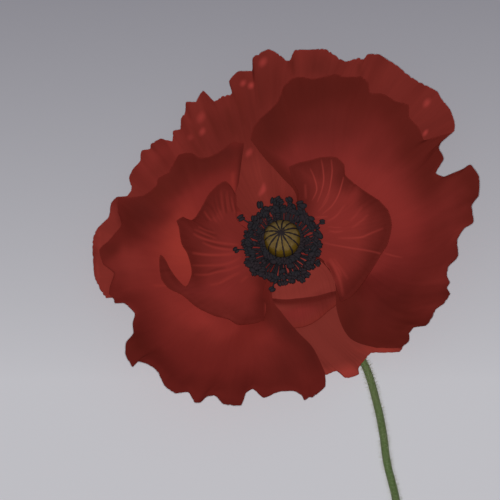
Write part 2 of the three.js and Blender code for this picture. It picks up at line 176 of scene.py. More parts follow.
def scalloped(curve: Array, depth: float, seed: int) -> Array:
    """A margin of small round scallops with a sharp notch between each two.

    Args:
        curve: The margin's picture points, one to a row.
        depth: How deep the deepest notches are, in picture points.
        seed: Fixes where they fall.

    Returns:
        The scalloped margin. Its ends stay.
    """
    draw = np.random.default_rng(seed)
    run = run_along(curve)
    notches = np.cumsum(draw.uniform(*SCALLOP_SPREAD, int(2.2 * run[-1] / SCALLOP))) * SCALLOP
    depths = depth * draw.uniform(0.0, 1.0, len(notches)) ** 1.5
    after = np.clip(np.searchsorted(notches, run), 1, len(notches) - 1)
    share = np.clip((run - notches[after - 1]) / (notches[after] - notches[after - 1]), 0.0, 1.0)
    bite = np.interp(run, notches, depths) * (1.0 - np.sin(np.pi * share) ** 0.6)
    bite = bite * smooth(np.minimum(run, run[-1] - run), 0.0, SCALLOP)
    inward = np.array(NOTCH_AIM_PX) - curve
    return curve + inward / np.linalg.norm(inward, axis=1, keepdims=True) * bite[:, None]


def calmed(curve: Array, reach: float) -> Array:
    """A curve with its frills smoothed away and its ends kept.

    Args:
        curve: The curve's points, one to a row.
        reach: How far the smoothing looks to each side, in points.

    Returns:
        The smoothed curve.
    """
    index = np.arange(len(curve))
    reaches = np.clip(np.minimum(index, index[::-1]) / 2.0, 0.3, reach)
    weights = np.exp(-0.5 * ((index[None, :] - index[:, None]) / reaches[:, None]) ** 2)
    weights[0, 1:] = weights[-1, :-1] = 0.0
    return weights @ curve / weights.sum(axis=1, keepdims=True)


def distance_to(curve: Array, plan: Array) -> Array:
    """Distance from each point of a plan grid to the nearest point of a curve."""
    fine = at_shares(curve, np.linspace(0.0, 1.0, EDGE_POINTS))
    return np.array([np.linalg.norm(row[:, None] - fine[None], axis=2).min(axis=1) for row in plan])


# Meshes


def added(name: str, data: bpy.types.ID) -> Object:
    """Adds an object to the scene.

    Args:
        name: The object's name.
        data: Its mesh, lamp or camera.

    Returns:
        The object.
    """
    made = bpy.data.objects.new(name, data)
    bpy.context.scene.collection.objects.link(made)
    return made


@dataclass
class MeshData:
    """A mesh in the making: points in millimetres round the flower's axis, faces and painted maps."""

    points: Array
    faces: list[Face]
    maps: dict[str, Array] = field(default_factory=dict)

    def to_object(self, name: str, material: Material | None = None) -> Object:
        """Makes a smooth-shaded object of it, at the origin, with its place in its mesh.

        Args:
            name: The object's name.
            material: The finish of all its faces.

        Returns:
            The object, in the scene.
        """
        mesh = bpy.data.meshes.new(name)
        mesh.from_pydata((self.points * MM + AXIS).tolist(), [], self.faces)
        corners = np.empty(len(mesh.loops), dtype=np.int32)
        mesh.loops.foreach_get("vertex_index", corners)
        for title, values in self.maps.items():
            layer = mesh.uv_layers.new(name=title)
            layer.data.foreach_set("uv", values[corners].astype(np.float32).ravel())
        mesh.shade_smooth()
        mesh.set_sharp_from_angle(angle=SHARP_TURN)
        if material:
            mesh.materials.append(material)
        mesh.validate()
        return added(name, mesh)


def grid_faces(rows: int, columns: int, start: int = 0, ring: bool = False) -> list[Face]:
    """Quads between neighbouring rows of points, anticlockwise where columns run right and rows run up.

    Args:
        rows: How many rows there are.
        columns: How many points a row has.
        start: Index of the first point.
        ring: Whether each row closes on itself.

    Returns:
        The faces.
    """
    index = np.arange(rows * columns).reshape(rows, columns) + start
    if ring:
        index = np.hstack([index, index[:, :1]])
    quads = np.stack([index[:-1, :-1], index[:-1, 1:], index[1:, 1:], index[1:, :-1]], axis=-1)
    return [tuple(quad) for quad in quads.reshape(-1, 4).tolist()]


def signed_area(plan: Array) -> float:
    """Twice the area inside a closed curve, above 0 where it runs anticlockwise."""
    following = np.roll(plan, -1, axis=0)
    return float(np.sum(plan[:, 0] * following[:, 1] - following[:, 0] * plan[:, 1]))


def closed_blade(under: Array, upper: Array) -> tuple[Array, list[Face]]:
    """Joins an underside and an upper side into one closed skin.

    Args:
        under: Points of the underside, by row and column.
        upper: Points of the upper side, laid out in the same way.

    Returns:
        The points and the faces of the skin.
    """
    rows, columns = under.shape[:2]
    count = rows * columns
    index = np.arange(count).reshape(rows, columns)
    rim = np.concatenate([index[0], index[1:, -1], index[-1, -2::-1], index[-2:0:-1, 0]])
    following = np.roll(rim, -1)
    wall = np.stack([rim, following, following + count, rim + count], axis=-1)
    faces = grid_faces(rows, columns, count)
    faces += [face[::-1] for face in grid_faces(rows, columns)]
    faces += [tuple(quad) for quad in wall.tolist()]
    if signed_area(under.reshape(-1, 3)[rim]) < 0:
        faces = [face[::-1] for face in faces]
    return np.vstack([under.reshape(-1, 3), upper.reshape(-1, 3)]), faces


def turned_piece(profile: Array, around: int, closed: bool = False) -> MeshData:
    """Turns a profile round the flower's axis.

    Args:
        profile: Radius and height of each ring.
        around: How many points a ring has.
        closed: Whether the last ring joins the first, as in a collar. Else poles close both ends.

    Returns:
        The turned mesh.
    """
    turn = 2 * np.pi * np.arange(around) / around
    rings = [np.column_stack([r * np.cos(turn), r * np.sin(turn), np.full(around, z)]) for r, z in profile]
    count = len(profile)
    total = count * around
    if closed:
        faces = grid_faces(count + 1, around, ring=True)
        return MeshData(np.vstack(rings), [tuple(i % total for i in face) for face in faces])
    last = total - around
    faces = grid_faces(count, around, ring=True)
    faces += [((k + 1) % around, k, total) for k in range(around)]
    faces += [(last + k, last + (k + 1) % around, total + 1) for k in range(around)]
    return MeshData(np.vstack([*rings, [[0, 0, profile[0][1]]], [[0, 0, profile[-1][1]]]]), faces)


def grown(source: Object, name: str) -> Object:
    """Turns an object and its modifiers into one plain mesh object.

    Args:
        source: The object with its modifiers. It is removed.
        name: The new object's name.

    Returns:
        The plain object, in the scene.
    """
    graph = bpy.context.evaluated_depsgraph_get()
    mesh = bpy.data.meshes.new_from_object(source.evaluated_get(graph), depsgraph=graph)
    source.modifiers.clear()
    bpy.data.objects.remove(source)
    mesh.name = name
    mesh.shade_smooth()
    return added(name, mesh)


def hand_over(piece: Object, node: str) -> None:
    """Lets a piece stand for its solid, on the flower's one body.

    Args:
        piece: The finished piece.
        node: The solid that it stands for.
    """
    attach(piece, BODY)
    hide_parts(node)
    piece.data.calc_loop_triangles()
    log.info("%s: %d triangles", piece.name, len(piece.data.loop_triangles))


# Colours and node graphs


def paint(*shown: float) -> Colour:
    """The paint that shows as a picture colour under the studio's light.

    Args:
        shown: Red, green and blue as they show, from 0 to 255.

    Returns:
        The linear colour of the surface itself.
    """
    shares = [value / 255.0 for value in shown]
    linear = [share / 12.92 if share < 0.04 else ((share + 0.055) / 1.055) ** 2.4 for share in shares]
    return tuple(min(value / STUDIO_LIGHT, BRIGHTEST_PAINT) for value in linear)


class Graph:
    """A node tree with short ways to add and link its nodes."""

    def __init__(self, tree: bpy.types.NodeTree) -> None:
        """Takes over an empty tree."""
        self.tree = tree

    def node(self, kind: str, inputs: dict[str | int, object] | None = None, **settings: object) -> bpy.types.Node:
        """Adds a node.

        Args:
            kind: The node's type name.
            inputs: Values or output sockets for its inputs, by name or place.
            settings: Values for its own properties.

        Returns:
            The node.
        """
        made = self.tree.nodes.new(kind)
        for name, value in settings.items():
            setattr(made, name, value)
        for name, value in (inputs or {}).items():
            if isinstance(value, Socket):
                self.tree.links.new(value, made.inputs[name])
            else:
                made.inputs[name].default_value = value
        return made

    def math(self, operation: str, *values: object) -> Socket:
        """Adds one sum of up to three numbers and returns its result."""
        return self.node("ShaderNodeMath", dict(enumerate(values)), operation=operation).outputs[0]

    def vector(self, x: object, y: object, z: object = 0.0) -> Socket:
        """Three numbers as one vector."""
        return self.node("ShaderNodeCombineXYZ", {0: x, 1: y, 2: z}).outputs[0]

    def height_of(self, vector: Socket) -> Socket:
        """The third number of a vector."""
        return self.node("ShaderNodeSeparateXYZ", {0: vector}).outputs[2]


class Finish(Graph):
    """A material: one surface shader and the patterns that feed it."""

    def __init__(self, name: str, roughness: float, gloss: float) -> None:
        """Starts a material.

        Args:
            name: The material's name.
            roughness: How matt the surface is.
            gloss: Its specular level.
        """
        self.material = bpy.data.materials.new(name)
        self.material.use_nodes = True
        super().__init__(self.material.node_tree)
        self.tree.nodes.clear()
        inputs = {"Roughness": roughness, "Specular IOR Level": gloss}
        self.shader = self.node("ShaderNodeBsdfPrincipled", inputs)
        self.node("ShaderNodeOutputMaterial", {0: self.shader.outputs[0]})

    def place(self) -> Socket:
        """Where a point lies, in metres."""
        return self.node("ShaderNodeTexCoord").outputs["Object"]

    def painted_map(self, title: str) -> tuple[Socket, Socket]:
        """The two values of one of the mesh's painted maps."""
        source = self.node("ShaderNodeUVMap", uv_map=title).outputs[0]
        return tuple(self.node("ShaderNodeSeparateXYZ", {0: source}).outputs[:2])

    def noise(self, vector: Socket, scale: float, detail: float = 2.0, roughness: float = 0.5) -> Socket:
        """A cloudy pattern between 0 and 1.

        Args:
            vector: The coordinates that it reads.
            scale: How many clouds there are to a unit.
            detail: How many finer layers it has.
            roughness: How strong the finer layers are.

        Returns:
            The pattern's value.
        """
        inputs = {"Vector": vector, "Scale": scale, "Detail": detail, "Roughness": roughness}
        return self.node("ShaderNodeTexNoise", inputs).outputs[0]

    def eased(self, value: Socket, low: float, high: float, start: float = 0.0, end: float = 1.0) -> Socket:
        """An eased step from start to end while the value goes from low to high."""
        inputs = {"Value": value, "From Min": low, "From Max": high, "To Min": start, "To Max": end}
        return self.node("ShaderNodeMapRange", inputs, interpolation_type="SMOOTHSTEP").outputs[0]

    def mixed(self, share: object, first: object, second: object, blend: str = "MIX") -> Socket:
        """One colour over another, where each is a paint or a socket.

        Args:
            share: How much of the second colour shows.
            first: The colour below.
            second: The colour above.
            blend: How the two are mixed.

        Returns:
            The mixed colour.
        """
        below, above = ((*colour, 1.0) if isinstance(colour, tuple) else colour for colour in (first, second))
        inputs = {0: share, 6: below, 7: above}
        return self.node("ShaderNodeMix", inputs, data_type="RGBA", blend_type=blend).outputs[2]

    def done(self, colour: Socket, height: Socket | None = None, depth: float = 0.0, strength: float = 1.0) -> Material:
        """Feeds the surface's colour and its fine relief.

        Args:
            colour: The surface colour.
            height: The relief's pattern, from 0 to 1.
            depth: How deep it is, in millimetres.
            strength: How strongly it shows.

        Returns:
            The finished material.
        """
        self.tree.links.new(colour, self.shader.inputs["Base Color"])
        if height:
            bump = self.node("ShaderNodeBump", {"Height": height, "Distance": depth * MM, "Strength": strength})
            self.tree.links.new(bump.outputs[0], self.shader.inputs["Normal"])
        return self.material


class Growth(Graph):
    """A geometry tree with named inputs, run once as a modifier."""

    KINDS = {int: "NodeSocketInt", float: "NodeSocketFloat", Material: "NodeSocketMaterial"}

    def __init__(self, name: str, values: dict[str, object]) -> None:
        """Starts a geometry tree.

        Args:
            name: The tree's name.
            values: Its inputs by name, each with a value of its kind.
        """
        super().__init__(bpy.data.node_groups.new(name, "GeometryNodeTree"))
        face = self.tree.interface
        for way in ("INPUT", "OUTPUT"):
            face.new_socket("Geometry", in_out=way, socket_type="NodeSocketGeometry")
        for title, value in values.items():
            face.new_socket(title, in_out="INPUT", socket_type=self.KINDS[type(value)])
        self.given = self.node("NodeGroupInput").outputs

    def random(self, low: object, high: object, seed: int) -> Socket:
        """A number for each point, the same each time for one seed."""
        inputs = {2: low, 3: high, "Seed": self.math("ADD", self.given["Seed"], float(seed))}
        return self.node("FunctionNodeRandomValue", inputs, data_type="FLOAT").outputs[1]

    def round_tube(self, curve: Socket, sides: int, radius: Socket) -> Socket:
        """A capped round tube along each curve.

        Args:
            curve: The curves that it follows.
            sides: How many sides it has.
            radius: Its radius.

        Returns:
            The tube's mesh.
        """
        profile = self.node("GeometryNodeCurvePrimitiveCircle", {"Resolution": sides, "Radius": radius})
        inputs = {"Curve": curve, "Profile Curve": profile.outputs[0], "Fill Caps": True}
        return self.node("GeometryNodeCurveToMesh", inputs).outputs[0]

    def spread(self, **sockets: object) -> Socket:
        """Instances on points, with sockets for Points, Instance, Rotation and Scale."""
        return self.node("GeometryNodeInstanceOnPoints", sockets).outputs[0]

    def together(self, *parts: Socket) -> Socket:
        """Several geometries as one.

        Args:
            parts: The geometries, in their order.

        Returns:
            The geometry of them all.
        """
        joined = self.node("GeometryNodeJoinGeometry")
        for part in parts:
            self.tree.links.new(part, joined.inputs[0])
        return joined.outputs[0]

    def finish(self, geometry: Socket) -> None:
        """Ends the tree: instances become plain mesh and take the tree's material.

        Args:
            geometry: All that has grown.
        """
        plain = self.node("GeometryNodeRealizeInstances", {0: geometry})
        inputs = {"Geometry": plain.outputs[0], "Material": self.given["Material"]}
        self.node("NodeGroupOutput", {0: self.node("GeometryNodeSetMaterial", inputs).outputs[0]})

    def add_to(self, target: Object, values: dict[str, object]) -> None:
        """Adds the tree to an object as a modifier.

        Args:
            target: The object that it grows on.
            values: Its inputs by name.
        """
        modifier = target.modifiers.new(self.tree.name, "NODES")
        modifier.node_group = self.tree
        for item in self.tree.interface.items_tree:
            if item.in_out == "INPUT" and item.name in values:
                modifier[item.identifier] = values[item.name]


# Petals


class Layer(Enum):
    """A whorl of petals, by the record's slot of its paper-thin stuff."""

    REAR = "petal_rear"
    FRONT = "petal_front"
    INNER = "petal_inner"


@dataclass(frozen=True)
class Rest:
    """A sector where a petal sags to rest on the surface: its middle and widths in degrees."""

    middle: float
    half_width: float
    fade: float
    depth: float

    def share(self, angle: Array) -> Array:
        """How much of the sag a direction gets, from 0 to 1."""
        turn = np.abs((angle - self.middle + 540.0) % 360.0 - 180.0)
        return 1.0 - smooth(turn, self.half_width, self.half_width + self.fade)


@dataclass(frozen=True)
class Saucer:
    """The dish shape of a petal: heights at root, belly and rim, and the radii of belly and rim."""

    root: float
    belly: float
    belly_radius: float
    rim: float
    rim_radius: float
    rise: float
    rests: tuple[Rest, ...] = ()

    def height(self, x: Array, y: Array) -> Array:
        """Height of the dish over the surface.

        Args:
            x: Plan coordinates to the right of the flower's axis.
            y: Plan coordinates behind it.

        Returns:
            The heights.
        """
        r = np.hypot(x, y)
        angle = np.degrees(np.arctan2(y, x))
        low = np.full_like(r, self.belly)
        for rest in self.rests:
            low = low + (rest.depth - low) * rest.share(angle)
        inward = self.root + (low - self.root) * smooth(r, PETAL_ROOT_RADIUS, self.belly_radius)
        climb = np.clip((r - self.belly_radius) / (self.rim_radius - self.belly_radius), 0.0, CLIMB_LIMIT) ** self.rise
        beyond = FLARE_SOFTNESS * np.logaddexp(0.0, (climb - 1.0) / FLARE_SOFTNESS)
        return inward + (self.rim - low) * (climb - beyond) + (self.rim - self.belly) * beyond * FLARE_PAST_RIM


@dataclass(frozen=True)
class Wave:
    """A wave along the margin: how many, how high, where it starts and how it dies out inwards."""

    count: float
    height: float
    phase: float
    grow: float

    def lift(self, s: Array, t: Array) -> Array:
        """Its height over the patch, s along the margin and t from root to margin."""
        return self.height * np.sin(2 * np.pi * (self.count * s + self.phase)) * t**self.grow


@dataclass(frozen=True)
class Crease:
    """A step across a petal that is folded: where it runs, its slopes and its height."""

    start: float
    end: float
    run: float
    width: float
    height: float

    def lift(self, s: Array, t: Array) -> Array:
        """Its height over the patch."""
        line = self.start + (self.end - self.start) * s**2
        return self.height * (smooth(t, line - self.run, line) - smooth(t, line, line + self.width))


@dataclass(frozen=True)
class ShadingPatch:
    """A soft patch of painted light and shade, lighter or darker than the petal: its picture point, half sizes in
    millimetres and turn in degrees.
    """

    at: tuple[float, float]
    half: tuple[float, float]
    turn: float
    colour: Colour
    strength: float


@dataclass(frozen=True)
class Stroke:
    """A fine line: a pale vein, which on the pleated petals is also a painted highlight along a ridge, or a dark pleat,
    painted shade in a fold's groove; its half width, its strength and the picture points that it runs through.

    A pale vein has a strength over 0, a dark pleat one below 0.
    """

    half_width: float
    strength: float
    run: Points

    def share(self, plan: Array, height_at: HeightAt) -> Array:
        """How much it shows over a plan grid.

        Args:
            plan: Plan points by row and column.
            height_at: Height of the petal over the plan.

        Returns:
            Its share at each point, from 0 to 1, fading towards both its ends.
        """
        line = on_surface(spline(self.run, STROKE_POINTS), height_at)
        reach = 3.0 * self.half_width
        near = ((plan > line.min(axis=0) - reach) & (plan < line.max(axis=0) + reach)).all(axis=-1)
        gaps = np.linalg.norm(plan[near][:, None] - line[None], axis=2)
        fading = np.sin(np.pi * gaps.argmin(axis=1) / (len(line) - 1)) ** 0.5
        shown = np.zeros(plan.shape[:2])
        shown[near] = np.exp(-((gaps.min(axis=1) / self.half_width) ** 2)) * fading
        return shown


def shading_patches(*rows: tuple[float, ...]) -> tuple[ShadingPatch, ...]:
    """Soft patches of painted light and shade, each as point x and y, two half sizes, turn, shown red, green and blue,
    and strength.
    """
    return tuple(ShadingPatch(row[:2], row[2:4], row[4], paint(*row[5:8]), row[8]) for row in rows)


def strokes(*rows: tuple[float, ...]) -> tuple[Stroke, ...]:
    """Pale veins with painted ridge highlights, and dark pleats of painted shade, each as half width, strength, and x
    and y of each point that it runs through.
    """
    return tuple(Stroke(row[0], row[1], tuple(zip(row[2::2], row[3::2]))) for row in rows)


@dataclass(frozen=True)
class PetalFinish:
    """Paper-thin petal stuff: body colour, borders darkened with painted shade, rim, soft patches of painted light and
    shade, pale veins that are partly painted highlights, and dark pleats of painted shade.
    """

    body: Colour
    border_shade: Colour
    rim: Colour
    # Painted shade: how far the darkened border reaches in from the margin, how strong it is, and how far it reaches in
    # from each side edge.
    margin_reach: tuple[float, float] = (0.5, 7.0)
    margin_strength: float = 1.0
    first_reach: float = 0.0
    last_reach: float = 0.0
    rim_width: float = 0.25
    streaks: float = 0.025
    fibres: float = 90.0
    # Pale colour of the veins and of the painted highlights on ridges; dark colour of the painted shade in pleats and
    # under a crease.
    vein: Colour = (0.5, 0.1, 0.08)
    pleat: Colour = (0.1, 0.02, 0.01)
    # Soft patches of painted light and shade, laid under the darkened border and over it.
    shading_patches: tuple[ShadingPatch, ...] = ()
    margin_shading_patches: tuple[ShadingPatch, ...] = ()
    strokes: tuple[Stroke, ...] = ()


@dataclass(frozen=True)
class Petal:
    """One petal: the angles of its root arc, side edges and margin as picture points, dish, waves and finish."""

    name: str
    layer: Layer
    root: tuple[float, float]
    first_side: Points
    last_side: Points
    margin: Points
    saucer: Saucer
    waves: tuple[Wave, ...]
    finish: PetalFinish
    seed: int
    columns: int = 600
    rows: int = 60
    crinkle: float = 0.045
    sharpness: float = 0.5
    notch: float = 1.0
    calm_reach: float = 4.0
    thickness: float = 0.3
    rim_thickness: float = 0.09
    crease: Crease | None = None
    bay: Points = ()

    def build(self) -> None:
        """Models the petal and hands it over."""
        s = np.linspace(0.0, 1.0, self.columns)[None, :]
        t = (1.0 - (1.0 - np.linspace(0.0, 1.0, self.rows)) ** ROW_SPREAD)[:, None]
        margin, first, last = self.outline(s[0])
        plan = self.patch(s, t, margin, first, last)
        room = np.linalg.norm(np.gradient(plan, axis=1), axis=2)
        room = np.clip(room / np.median(room, axis=1, keepdims=True), 0.0, 1.0)
        dish = self.saucer.height(plan[..., 0], plan[..., 1])
        free = dish + self.wave_lift(s, t) + self.crinkles(s, t) * room
        under = CONTACT_SOFTNESS * np.logaddexp(0.0, free / CONTACT_SOFTNESS)
        upper = under + self.blade_thickness(s, t) / self.upright(plan, under)
        edge = distance_to(margin, plan)
        if self.bay:
            edge = np.minimum(edge, distance_to(self.bay_outline(), plan))
        pairs = {
            "span": (s + 0 * t, t + 0 * s),
            "edges": (edge, edge),
            "sides": (distance_to(first, plan), distance_to(last, plan)),
            "strokes": self.stroke_shares(plan),
        }
        maps = {title: np.tile(np.column_stack([v.ravel() for v in pair]), (2, 1)) for title, pair in pairs.items()}
        points, faces = closed_blade(np.dstack([plan, under]), np.dstack([plan, upper]))
        made = MeshData(points, faces, maps).to_object(f"{self.name}_dressed", petal_material(self))
        if self.bay:
            made = self.without_bay(made)
        hand_over(made, self.name)

    def outline(self, s: Array) -> tuple[Array, Array, Array]:
        """Lays the margin and the two side edges on the dish.

        Args:
            s: Places along the margin, from 0 to 1.

        Returns:
            The plan points of the margin, the first side and the last side.
        """
        given, count = np.array(self.margin, float), len(s)
        straight = read_off(given, np.arange(len(given)), np.linspace(0.0, len(given) - 1, count))
        rounded = spline(given, count)
        curve = scalloped(rounded + (straight - rounded) * self.sharpness, self.notch, self.seed)
        waved = self.wave_lift(s, np.ones_like(s))
        margin = on_surface(curve, lambda x, y: self.saucer.height(x, y) + waved)
        start, end = self.root_at(np.array([0.0, 1.0]))
        return margin, self.side(start, self.first_side, margin[0]), self.side(end, self.last_side, margin[-1])

    def root_at(self, s: Array) -> Array:
        """Plan points of the root arc."""
        angle = np.radians(self.root[0] + (self.root[1] - self.root[0]) * s)
        return PETAL_ROOT_RADIUS * np.stack([np.cos(angle), np.sin(angle)], axis=-1)

    def side(self, start: Array, points: Points, end: Array) -> Array:
        """One side edge from the root to the margin's end, as fine plan points."""
        return spline(np.vstack([start, on_surface(points, self.saucer.height), end]), SIDE_POINTS)

    def patch(self, s: Array, t: Array, margin: Array, first: Array, last: Array) -> Array:
        """Fills the outline with rows that run calmly from the root arc to the frilled margin.

        Args:
            s: Places along the margin, in one row.
            t: Places from root to margin, in one column.
            margin: Plan points of the margin.
            first: Plan points of the first side edge.
            last: Plan points of the last side edge.

        Returns:
            Plan points by row and column.
        """
        length = np.linalg.norm(np.diff(margin, axis=0), axis=1).sum()
        calm = calmed(margin, self.calm_reach * self.columns / length)
        share, out = s[..., None], t[..., None]
        aim = calm[None] + (margin - calm)[None] * out**FRILL_DEPTH
        root = self.root_at(s[0])[None]
        a, b = (at_shares(side, t[:, 0])[:, None] for side in (first, last))
        plan = root * (1 - out) + aim * out + a * (1 - share) + b * share
        corners = (1 - share) * (1 - out) * root[:, :1] + share * (1 - out) * root[:, -1:]
        corners = corners + (1 - share) * out * margin[0] + share * out * margin[-1]
        return plan - corners

    def wave_lift(self, s: Array, t: Array) -> Array:
        """Height of the waves and the fold, as the solid has them.

        Args:
            s: Places along the margin.
            t: Places from root to margin.

        Returns:
            The heights.
        """
        edge = np.clip(np.minimum(s, 1.0 - s) / STILL_EDGE, 0.0, 1.0)
        folds = (*self.waves, self.crease) if self.crease else self.waves
        return sum((fold.lift(s, t) for fold in folds), np.zeros_like(s * t)) * edge

    def crinkles(self, s: Array, t: Array) -> Array:
        """Height of the fine crinkles that run out to the margin.

        Args:
            s: Places along the margin.
            t: Places from root to margin.

        Returns:
            The heights.
        """
        draw = np.random.default_rng(self.seed)
        edge = smooth(np.minimum(s, 1.0 - s), 0.0, CRINKLE_STILL_END)
        lift = np.zeros_like(s * t)
        for count in CRINKLE_COUNTS:
            phase, drift, patchy = draw.random(), draw.uniform(-0.8, 0.8), draw.random()
            ridge = np.sin(2 * np.pi * (count * s + phase + drift * t))
            fading = 0.55 + 0.45 * np.sin(2 * np.pi * (count / 5.0 * s + 1.7 * t + patchy))
            lift = lift + ridge * fading * (0.25 * t + 0.75 * t**3)
        cross = np.sin(2 * np.pi * (9.0 * t + 1.2 * np.sin(2 * np.pi * (6.0 * s + draw.random()))))
        return self.crinkle * (lift + 0.4 * cross * t**4) * edge

    def stroke_shares(self, plan: Array) -> tuple[Array, Array]:
        """How much the fine lines show over the plan.

        Args:
            plan: Plan points by row and column.

        Returns:
            The shares of the pale veins, partly painted highlights, and of the dark pleats of painted shade.
        """
        pale, dark = np.zeros(plan.shape[:2]), np.zeros(plan.shape[:2])
        for stroke in self.finish.strokes:
            shown = pale if stroke.strength > 0 else dark
            np.maximum(shown, abs(stroke.strength) * stroke.share(plan, self.saucer.height), out=shown)
        return pale, dark

    def blade_thickness(self, s: Array, t: Array) -> Array:
        """Thickness of the blade, which thins out towards its margin and its sides."""
        inside = (1.0 - smooth(t, THIN_FROM, 1.0)) * smooth(np.minimum(s, 1.0 - s), 0.0, THIN_SIDE)
        return self.rim_thickness + (self.thickness - self.rim_thickness) * inside

    @staticmethod
    def upright(plan: Array, height: Array) -> Array:
        """How nearly level the blade lies.

        Args:
            plan: Plan points by row and column.
            height: Their heights.

        Returns:
            A share from 0, upright, to 1, level, for each point.
        """
        surface = np.dstack([plan, height])
        normal = np.cross(np.gradient(surface, axis=1), np.gradient(surface, axis=0))
        length = np.maximum(np.linalg.norm(normal, axis=2), 1e-9)
        return np.clip(np.abs(normal[..., 2]) / length, STEEPEST_UPRIGHT, 1.0)

    def bay_outline(self) -> Array:
        """Plan points of the bay that is cut into the margin, as a closed curve."""
        return on_surface(spline([*self.bay, self.bay[0]], 12 * len(self.bay) + 1), self.saucer.height)

    def without_bay(self, blade: Object) -> Object:
        """Cuts the bay out of the blade.

        Args:
            blade: The whole petal. It is removed.

        Returns:
            The petal with its bay.
        """
        outline = self.bay_outline()[:-1]
        count = len(outline)
        points = np.vstack([np.column_stack([outline, np.full(count, z)]) for z in CUTTER_HEIGHTS])
        ends = [tuple(range(count)), tuple(range(2 * count - 1, count - 1, -1))]
        cutter = MeshData(points, grid_faces(2, count, ring=True) + ends).to_object("bay_cutter")
        if signed_area(outline) < 0:
            cutter.data.flip_normals()
        cut = blade.modifiers.new("bay", "BOOLEAN")
        cut.operation = "DIFFERENCE"
        cut.solver = "EXACT"
        cut.object = cutter
        made = grown(blade, f"{self.name}_dressed")
        made.data.set_sharp_from_angle(angle=SHARP_TURN)
        bpy.data.objects.remove(cutter)
        return made


def petal_material(petal: Petal) -> Material:
    """Makes a petal's own finish: borders darkened with painted shade, streaked along its fibres, with soft patches of
    painted light and shade.

    Args:
        petal: The petal, with the finish that it describes.

    Returns:
        The material.
    """
    look = petal.finish
    finish = Finish(f"{petal.name}_stuff", roughness=0.8, gloss=0.05)
    s, t = finish.painted_map("span")
    edge, _ = finish.painted_map("edges")
    first, last = finish.painted_map("sides")
    place = finish.place()
    cloud = finish.noise(place, scale=160.0, detail=3.0)

    def fibrous(across: float, along: float, detail: float, roughness: float = 0.5) -> Socket:
        """A pattern stretched along the petal's fibres."""
        stretched = finish.vector(finish.math("MULTIPLY", s, across), finish.math("MULTIPLY", t, along))
        return finish.noise(stretched, scale=1.0, detail=detail, roughness=roughness)

    fibre = fibrous(look.fibres, along=2.6, detail=4.0, roughness=0.6)
    pleat = fibrous(look.fibres / 5, along=1.7, detail=2.0)
    crepe = fibrous(look.fibres * 0.8, along=14.0, detail=3.0)

    def moved(operation: str, inputs: dict[str | int, object]) -> Socket:
        """One sum of vectors."""
        return finish.node("ShaderNodeVectorMath", inputs, operation=operation).outputs[0]

    wander = finish.node("ShaderNodeTexNoise", {"Vector": place, "Scale": 110.0, "Detail": 2.0}).outputs[1]
    drift = moved("SCALE", {0: moved("SUBTRACT", {0: wander, 1: (0.5, 0.5, 0.5)}), "Scale": WANDER_DEPTH * MM})
    drifted = moved("ADD", {0: place, 1: drift})

    def with_shading(colour: object, places: tuple[ShadingPatch, ...]) -> object:
        """Lays soft patches of painted light and shade over a colour and returns the whole."""
        for tone in places:
            colour = finish.mixed(shading_share(finish, petal, tone, drifted), colour, tone.colour)
        return colour

    # Painted shade: the body darkens towards the margin and in bands along the side edges.
    near, far = look.margin_reach
    ragged = finish.math("MULTIPLY_ADD", cloud, -2 * BORDER_RAGGED, edge)
    border_shade = finish.eased(ragged, near - BORDER_RAGGED, far - BORDER_RAGGED, look.margin_strength, 0.0)
    for distance, reach in ((first, look.first_reach), (last, look.last_reach)):
        if reach > 0:
            band = finish.eased(distance, reach * 0.15, reach, look.margin_strength, 0.0)
            border_shade = finish.math("MAXIMUM", border_shade, band)
    # Soft patches of painted light and shade go under the darkened border and over it.
    colour = with_shading(finish.mixed(border_shade, with_shading(look.body, look.shading_patches), look.border_shade), look.margin_shading_patches)

    if petal.crease:
        fold = petal.crease
        line = finish.math("MULTIPLY_ADD", finish.math("MULTIPLY", s, s), fold.end - fold.start, fold.start)
        past = finish.math("SUBTRACT", t, line)
        shadow = finish.math("MULTIPLY", finish.eased(past, 0.0, 0.012), finish.eased(past, 0.02, 0.14, 1.0, 0.0))
        colour = finish.mixed(shadow, colour, look.pleat)
    # Pale veins, partly painted highlights on ridges, and dark pleat lines of painted shade.
    if look.strokes:
        pale, dark = finish.painted_map("strokes")
        colour = finish.mixed(dark, finish.mixed(pale, colour, look.vein), look.pleat)
    # A thin line along the very margin: a painted edge highlight on the rear petals, a dark margin line on the others.
    rim = finish.eased(edge, look.rim_width * 0.4, look.rim_width, RIM_STRENGTH, 0.0)
    colour = finish.mixed(rim, colour, look.rim)

    grain = finish.eased(fibre, 0.25, 0.75, 1.0 - look.streaks, 1.0 + look.streaks)
    folds = finish.eased(pleat, 0.25, 0.75, 1.0 - look.streaks / 2, 1.0 + look.streaks / 2)
    tint = finish.math("MULTIPLY", grain, folds)
    colour = finish.mixed(1.0, colour, finish.vector(tint, tint, tint), "MULTIPLY")
    height = finish.math("ADD", *(finish.math("MULTIPLY", wave, part) for wave, part in ((fibre, 0.7), (crepe, 0.3))))
    return finish.done(colour, height, depth=0.05, strength=0.2)


